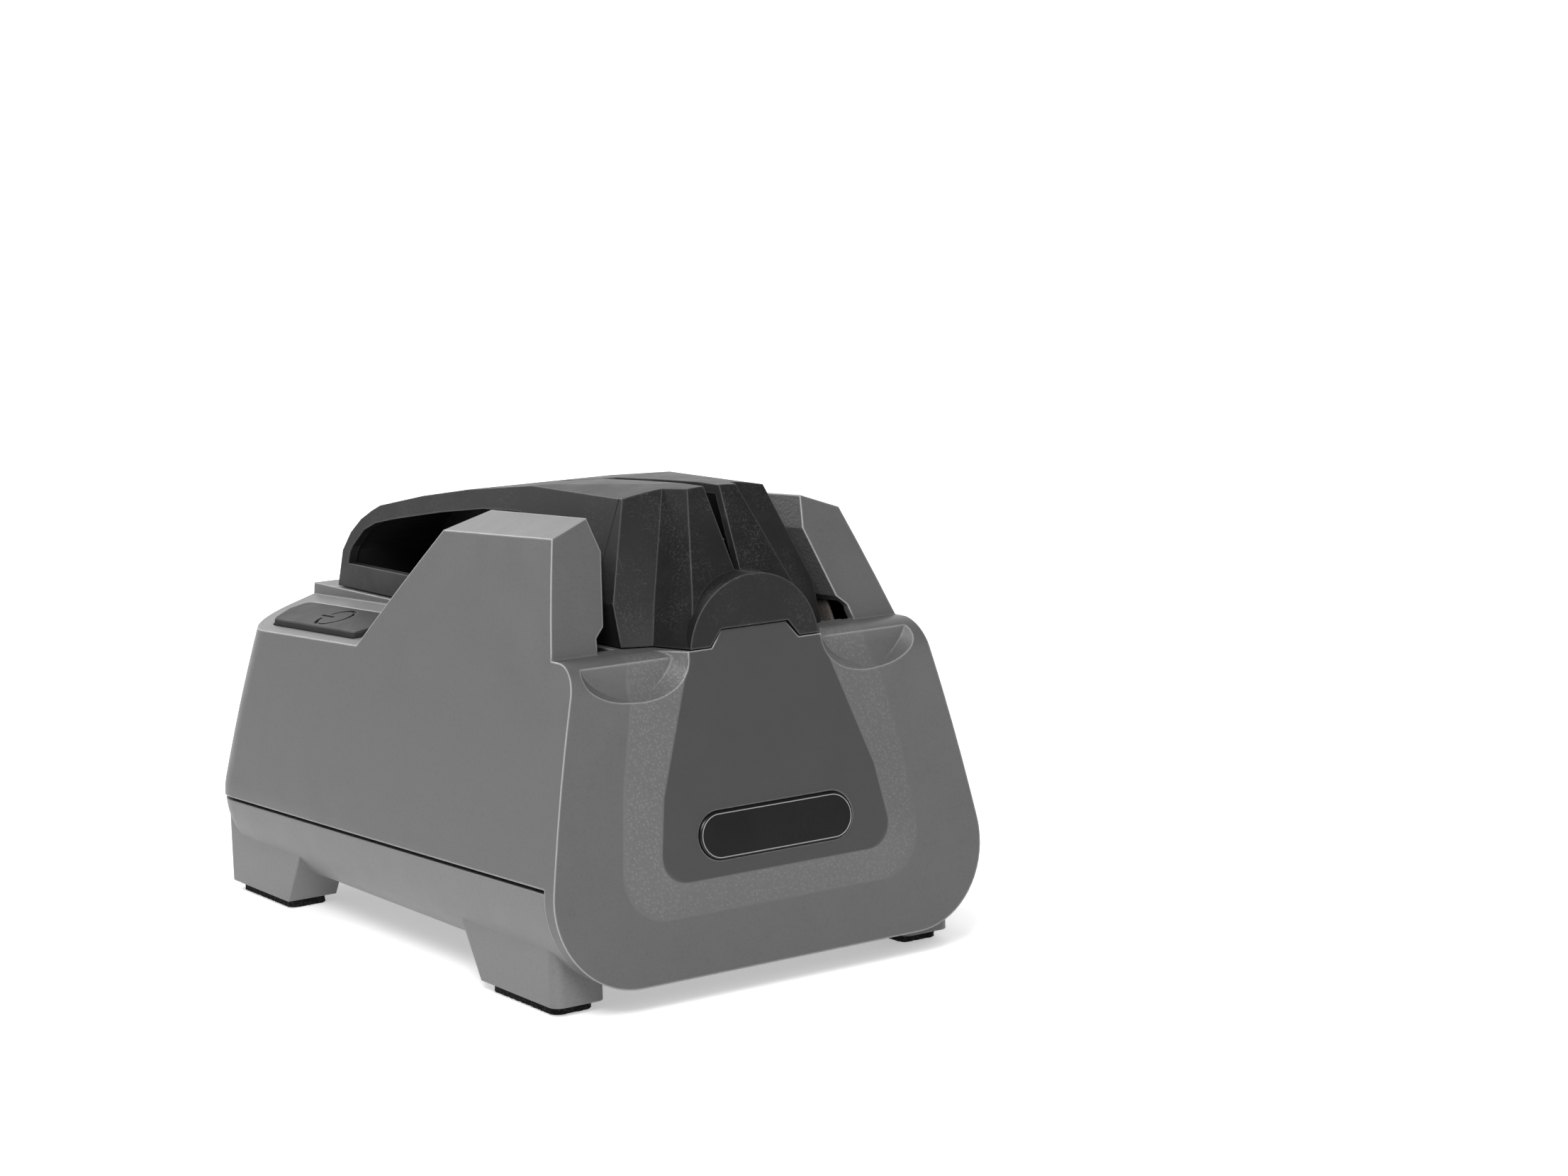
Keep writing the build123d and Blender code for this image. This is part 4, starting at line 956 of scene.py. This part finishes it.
@dataclass
class ButtonSpring:
    """Coil spring under the button.

    Attributes:
        coil: Radius of the coil's middle line.
        wire: Radius of the wire.
        turns: Number of turns.
        steps: Points to a turn.
        sides: Points round the wire.
        travel: How far the button goes down; not used.
    """

    coil: float = 3.9 * MM
    wire: float = 0.4 * MM
    turns: int = 4
    steps: int = 40
    sides: int = 12
    travel: float = 1.8 * MM

    def build(self, pieces: Pieces) -> None:
        """Winds the wire in the box of the CAD spring.

        Args:
            pieces: Where the piece goes.
        """
        low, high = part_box("button_spring")
        x, y = (low[0] + high[0]) / 2, (low[1] + high[1]) / 2
        bottom, top = low[2] + self.wire, high[2] - self.wire
        count = self.turns * self.steps
        mesh = bmesh.new()
        rings: List[Ring] = []
        for k in range(count + 1):
            turn = math.tau * k / self.steps
            level = bottom + (top - bottom) * k / count
            ring = []
            for i in range(self.sides):
                angle = math.tau * i / self.sides
                reach = self.coil + self.wire * math.cos(angle)
                ring.append(mesh.verts.new((x + reach * math.cos(turn), y + reach * math.sin(turn),
                                            level + self.wire * math.sin(angle))))
            rings.append(ring)
        join_rings(mesh, rings)
        piece = pieces.place("coil_spring", mesh, "base", "spring_steel", replaces="button_spring")
        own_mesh(piece)


@dataclass(frozen=True)
class Lamp:
    """A soft square light.

    Attributes:
        name: Name of the light.
        at: Where it stands.
        size: Side of its square.
        power: Power in watts.
    """

    name: str
    at: Point
    size: float
    power: float

    def hang(self, aim: Point) -> None:
        """Adds the light.

        Args:
            aim: What it points at.
        """
        light = bpy.data.lights.new(self.name, "AREA")
        light.shape = "SQUARE"
        light.size = self.size
        light.energy = self.power
        lamp = bpy.data.objects.new(self.name, light)
        lamp.location = self.at
        lamp.rotation_euler = (Vector(aim) - Vector(self.at)).to_track_quat("-Z", "Y").to_euler()
        bpy.context.scene.collection.objects.link(lamp)


@dataclass
class Backdrop:
    """Pale floor that curves up into a wall.

    Attributes:
        near: Where the floor starts.
        bend: Where it starts to curve up.
        radius: Radius of that curve.
        bend_steps: Parts that the curve is drawn in.
        top: Height of the wall.
        half_width: Half its width.
        sunk: How far it lies under the pads.
        tone: Lightness of its paint.
        roughness: Roughness of its paint.
        glow_reach: Distances from the object over which its glow grows.
        glow: Glow at those distances.
    """

    near: float = -3.0
    bend: float = 1.6
    radius: float = 1.2
    bend_steps: int = 12
    top: float = 4.0
    half_width: float = 4.0
    sunk: float = 0.1 * MM
    tone: float = 0.82
    roughness: float = 0.9
    glow_reach: Span = (0.45, 1.6)
    glow: Span = (0.42, 1.05)

    def build(self, yaw: float) -> None:
        """Adds the floor, square to the view.

        Args:
            yaw: Turn of the view, in degrees.
        """
        angles = [math.radians(90 * k / self.bend_steps) for k in range(self.bend_steps + 1)]
        curve = [(self.bend + self.radius * math.sin(a), self.radius * (1 - math.cos(a))) for a in angles]
        profile = [(self.near, 0.0), *curve, (self.bend + self.radius, self.top)]
        mesh = bmesh.new()
        left, right = ([mesh.verts.new((x, y, z - self.sunk)) for y, z in profile]
                       for x in (-self.half_width, self.half_width))
        for i in range(len(profile) - 1):
            mesh.faces.new((left[i], right[i], right[i + 1], left[i + 1]))
        data = bpy.data.meshes.new("floor")
        mesh.to_mesh(data)
        mesh.free()
        data.polygons.foreach_set("use_smooth", [True] * len(data.polygons))
        data.materials.append(self._paint())
        floor = bpy.data.objects.new("floor", data)
        bpy.context.scene.collection.objects.link(floor)
        floor.rotation_euler = (0, 0, math.radians(-yaw))

    def _paint(self) -> bpy.types.Material:
        """Paint that glows more the further it is from the object.

        Returns:
            The material.
        """
        paint = bpy.data.materials.new("floor_white")
        paint.use_nodes = True
        inputs = paint.node_tree.nodes["Principled BSDF"].inputs
        inputs["Base Color"].default_value = (self.tone, self.tone, self.tone, 1)
        inputs["Roughness"].default_value = self.roughness
        inputs["Emission Color"].default_value = (1, 1, 1, 1)
        graph = Graph(paint.node_tree)
        where = graph.add("TexCoord").outputs["Object"]
        reach = graph.add("VectorMath", {"operation": "LENGTH"}, i0=where).outputs["Value"]
        glow = graph.span(reach, *self.glow_reach, *self.glow)
        paint.node_tree.links.new(glow, inputs["Emission Strength"])
        return paint


@dataclass
class Studio:
    """Backdrop, surroundings, lights and the camera.

    Attributes:
        eye: Place of the camera.
        yaw: Turn of the view from +Y towards +X, in degrees.
        pitch: How far the view looks down, in degrees.
        roll: Roll of the camera, in degrees.
        sensor_mm: Width of the sensor.
        lens_mm: Focal length.
        shift: Sideways shift of the lens.
        near_clip: Nearest distance that the camera sees.
        surroundings: Strength of the even white light from all sides.
        aim: What the lamps point at.
        lamps: The lamps.
    """

    eye: Point = (-0.3943, -0.6654, 0.1919)
    yaw: float = 34.98
    pitch: float = 8.36
    roll: float = -1.61
    sensor_mm: float = 36.0
    lens_mm: float = 74.47
    shift: float = -0.0181
    near_clip: float = 0.01
    surroundings: float = 0.15
    aim: Point = (0.0, 0.0, 0.06)
    lamps: Tuple[Lamp, ...] = (Lamp("key", (-0.55, -0.62, 0.80), size=0.4, power=9.8),
                               Lamp("front_fill", (-0.30, -1.00, 0.70), size=0.5, power=3.4),
                               Lamp("back_top", (-0.20, 0.90, 0.80), size=0.5, power=9.0))

    def build(self) -> None:
        """Sets up everything that isn't part of the object."""
        Backdrop().build(self.yaw)
        self._world()
        for lamp in self.lamps:
            lamp.hang(self.aim)
        self._camera()

    def _world(self) -> None:
        """Sets even white surroundings and plain display of colours."""
        world = bpy.data.worlds.new("studio")
        world.use_nodes = True
        colour, strength = world.node_tree.nodes["Background"].inputs[:2]
        colour.default_value = (1, 1, 1, 1)
        strength.default_value = self.surroundings
        bpy.context.scene.world = world
        bpy.context.scene.view_settings.view_transform = "Standard"

    def _camera(self) -> None:
        """Adds the camera and makes it the scene's."""
        yaw, pitch, roll = (math.radians(angle) for angle in (self.yaw, self.pitch, self.roll))
        ahead = Vector((math.sin(yaw) * math.cos(pitch), math.cos(yaw) * math.cos(pitch), -math.sin(pitch)))
        right = Vector((math.cos(yaw), -math.sin(yaw), 0))
        up = right.cross(ahead)
        turned_right = right * math.cos(roll) + up * math.sin(roll)
        turned_up = up * math.cos(roll) - right * math.sin(roll)
        facing = Matrix((turned_right, turned_up, -ahead)).transposed().to_4x4()
        lens = bpy.data.cameras.new("camera")
        lens.sensor_width = self.sensor_mm
        lens.sensor_fit = "HORIZONTAL"
        lens.lens = self.lens_mm
        lens.shift_x = self.shift
        lens.clip_start = self.near_clip
        camera = bpy.data.objects.new("camera", lens)
        camera.matrix_world = Matrix.Translation(self.eye) @ facing
        bpy.context.scene.collection.objects.link(camera)
        bpy.context.scene.camera = camera


@dataclass
class Sharpener:
    """The whole object: finishes on the CAD nodes and the added pieces.

    Attributes:
        painter: Makes the materials.
    """

    painter: Painter

    def build(self) -> None:
        """Paints the nodes and builds the pieces."""
        self._paint_nodes()
        pieces = Pieces(self.painter)
        for part in (FootPads(), BadgeTrim(), ButtonSpring()):
            part.build(pieces)
        LOG.info("%d added pieces", len(pieces.names))

    def _paint_nodes(self) -> None:
        """Gives every CAD node the finish of its record slot."""
        slots = {entry["node"]: entry["material_slot"] for entry in frame["record"]["subparts"]}
        for name, node in sorted(frame["nodes"].items()):
            node.data.materials.clear()
            node.data.materials.append(self.painter.material(FINISHES[slots[name]]))
            LOG.info("node %s: %s", name, slots[name])


def main() -> None:
    """Builds the looks and the studio."""
    logging.basicConfig(level=logging.INFO, format="%(name)s: %(message)s")
    Sharpener(Painter(EffectLibrary())).build()
    Studio().build()


if __name__ == "__main__":
    main()
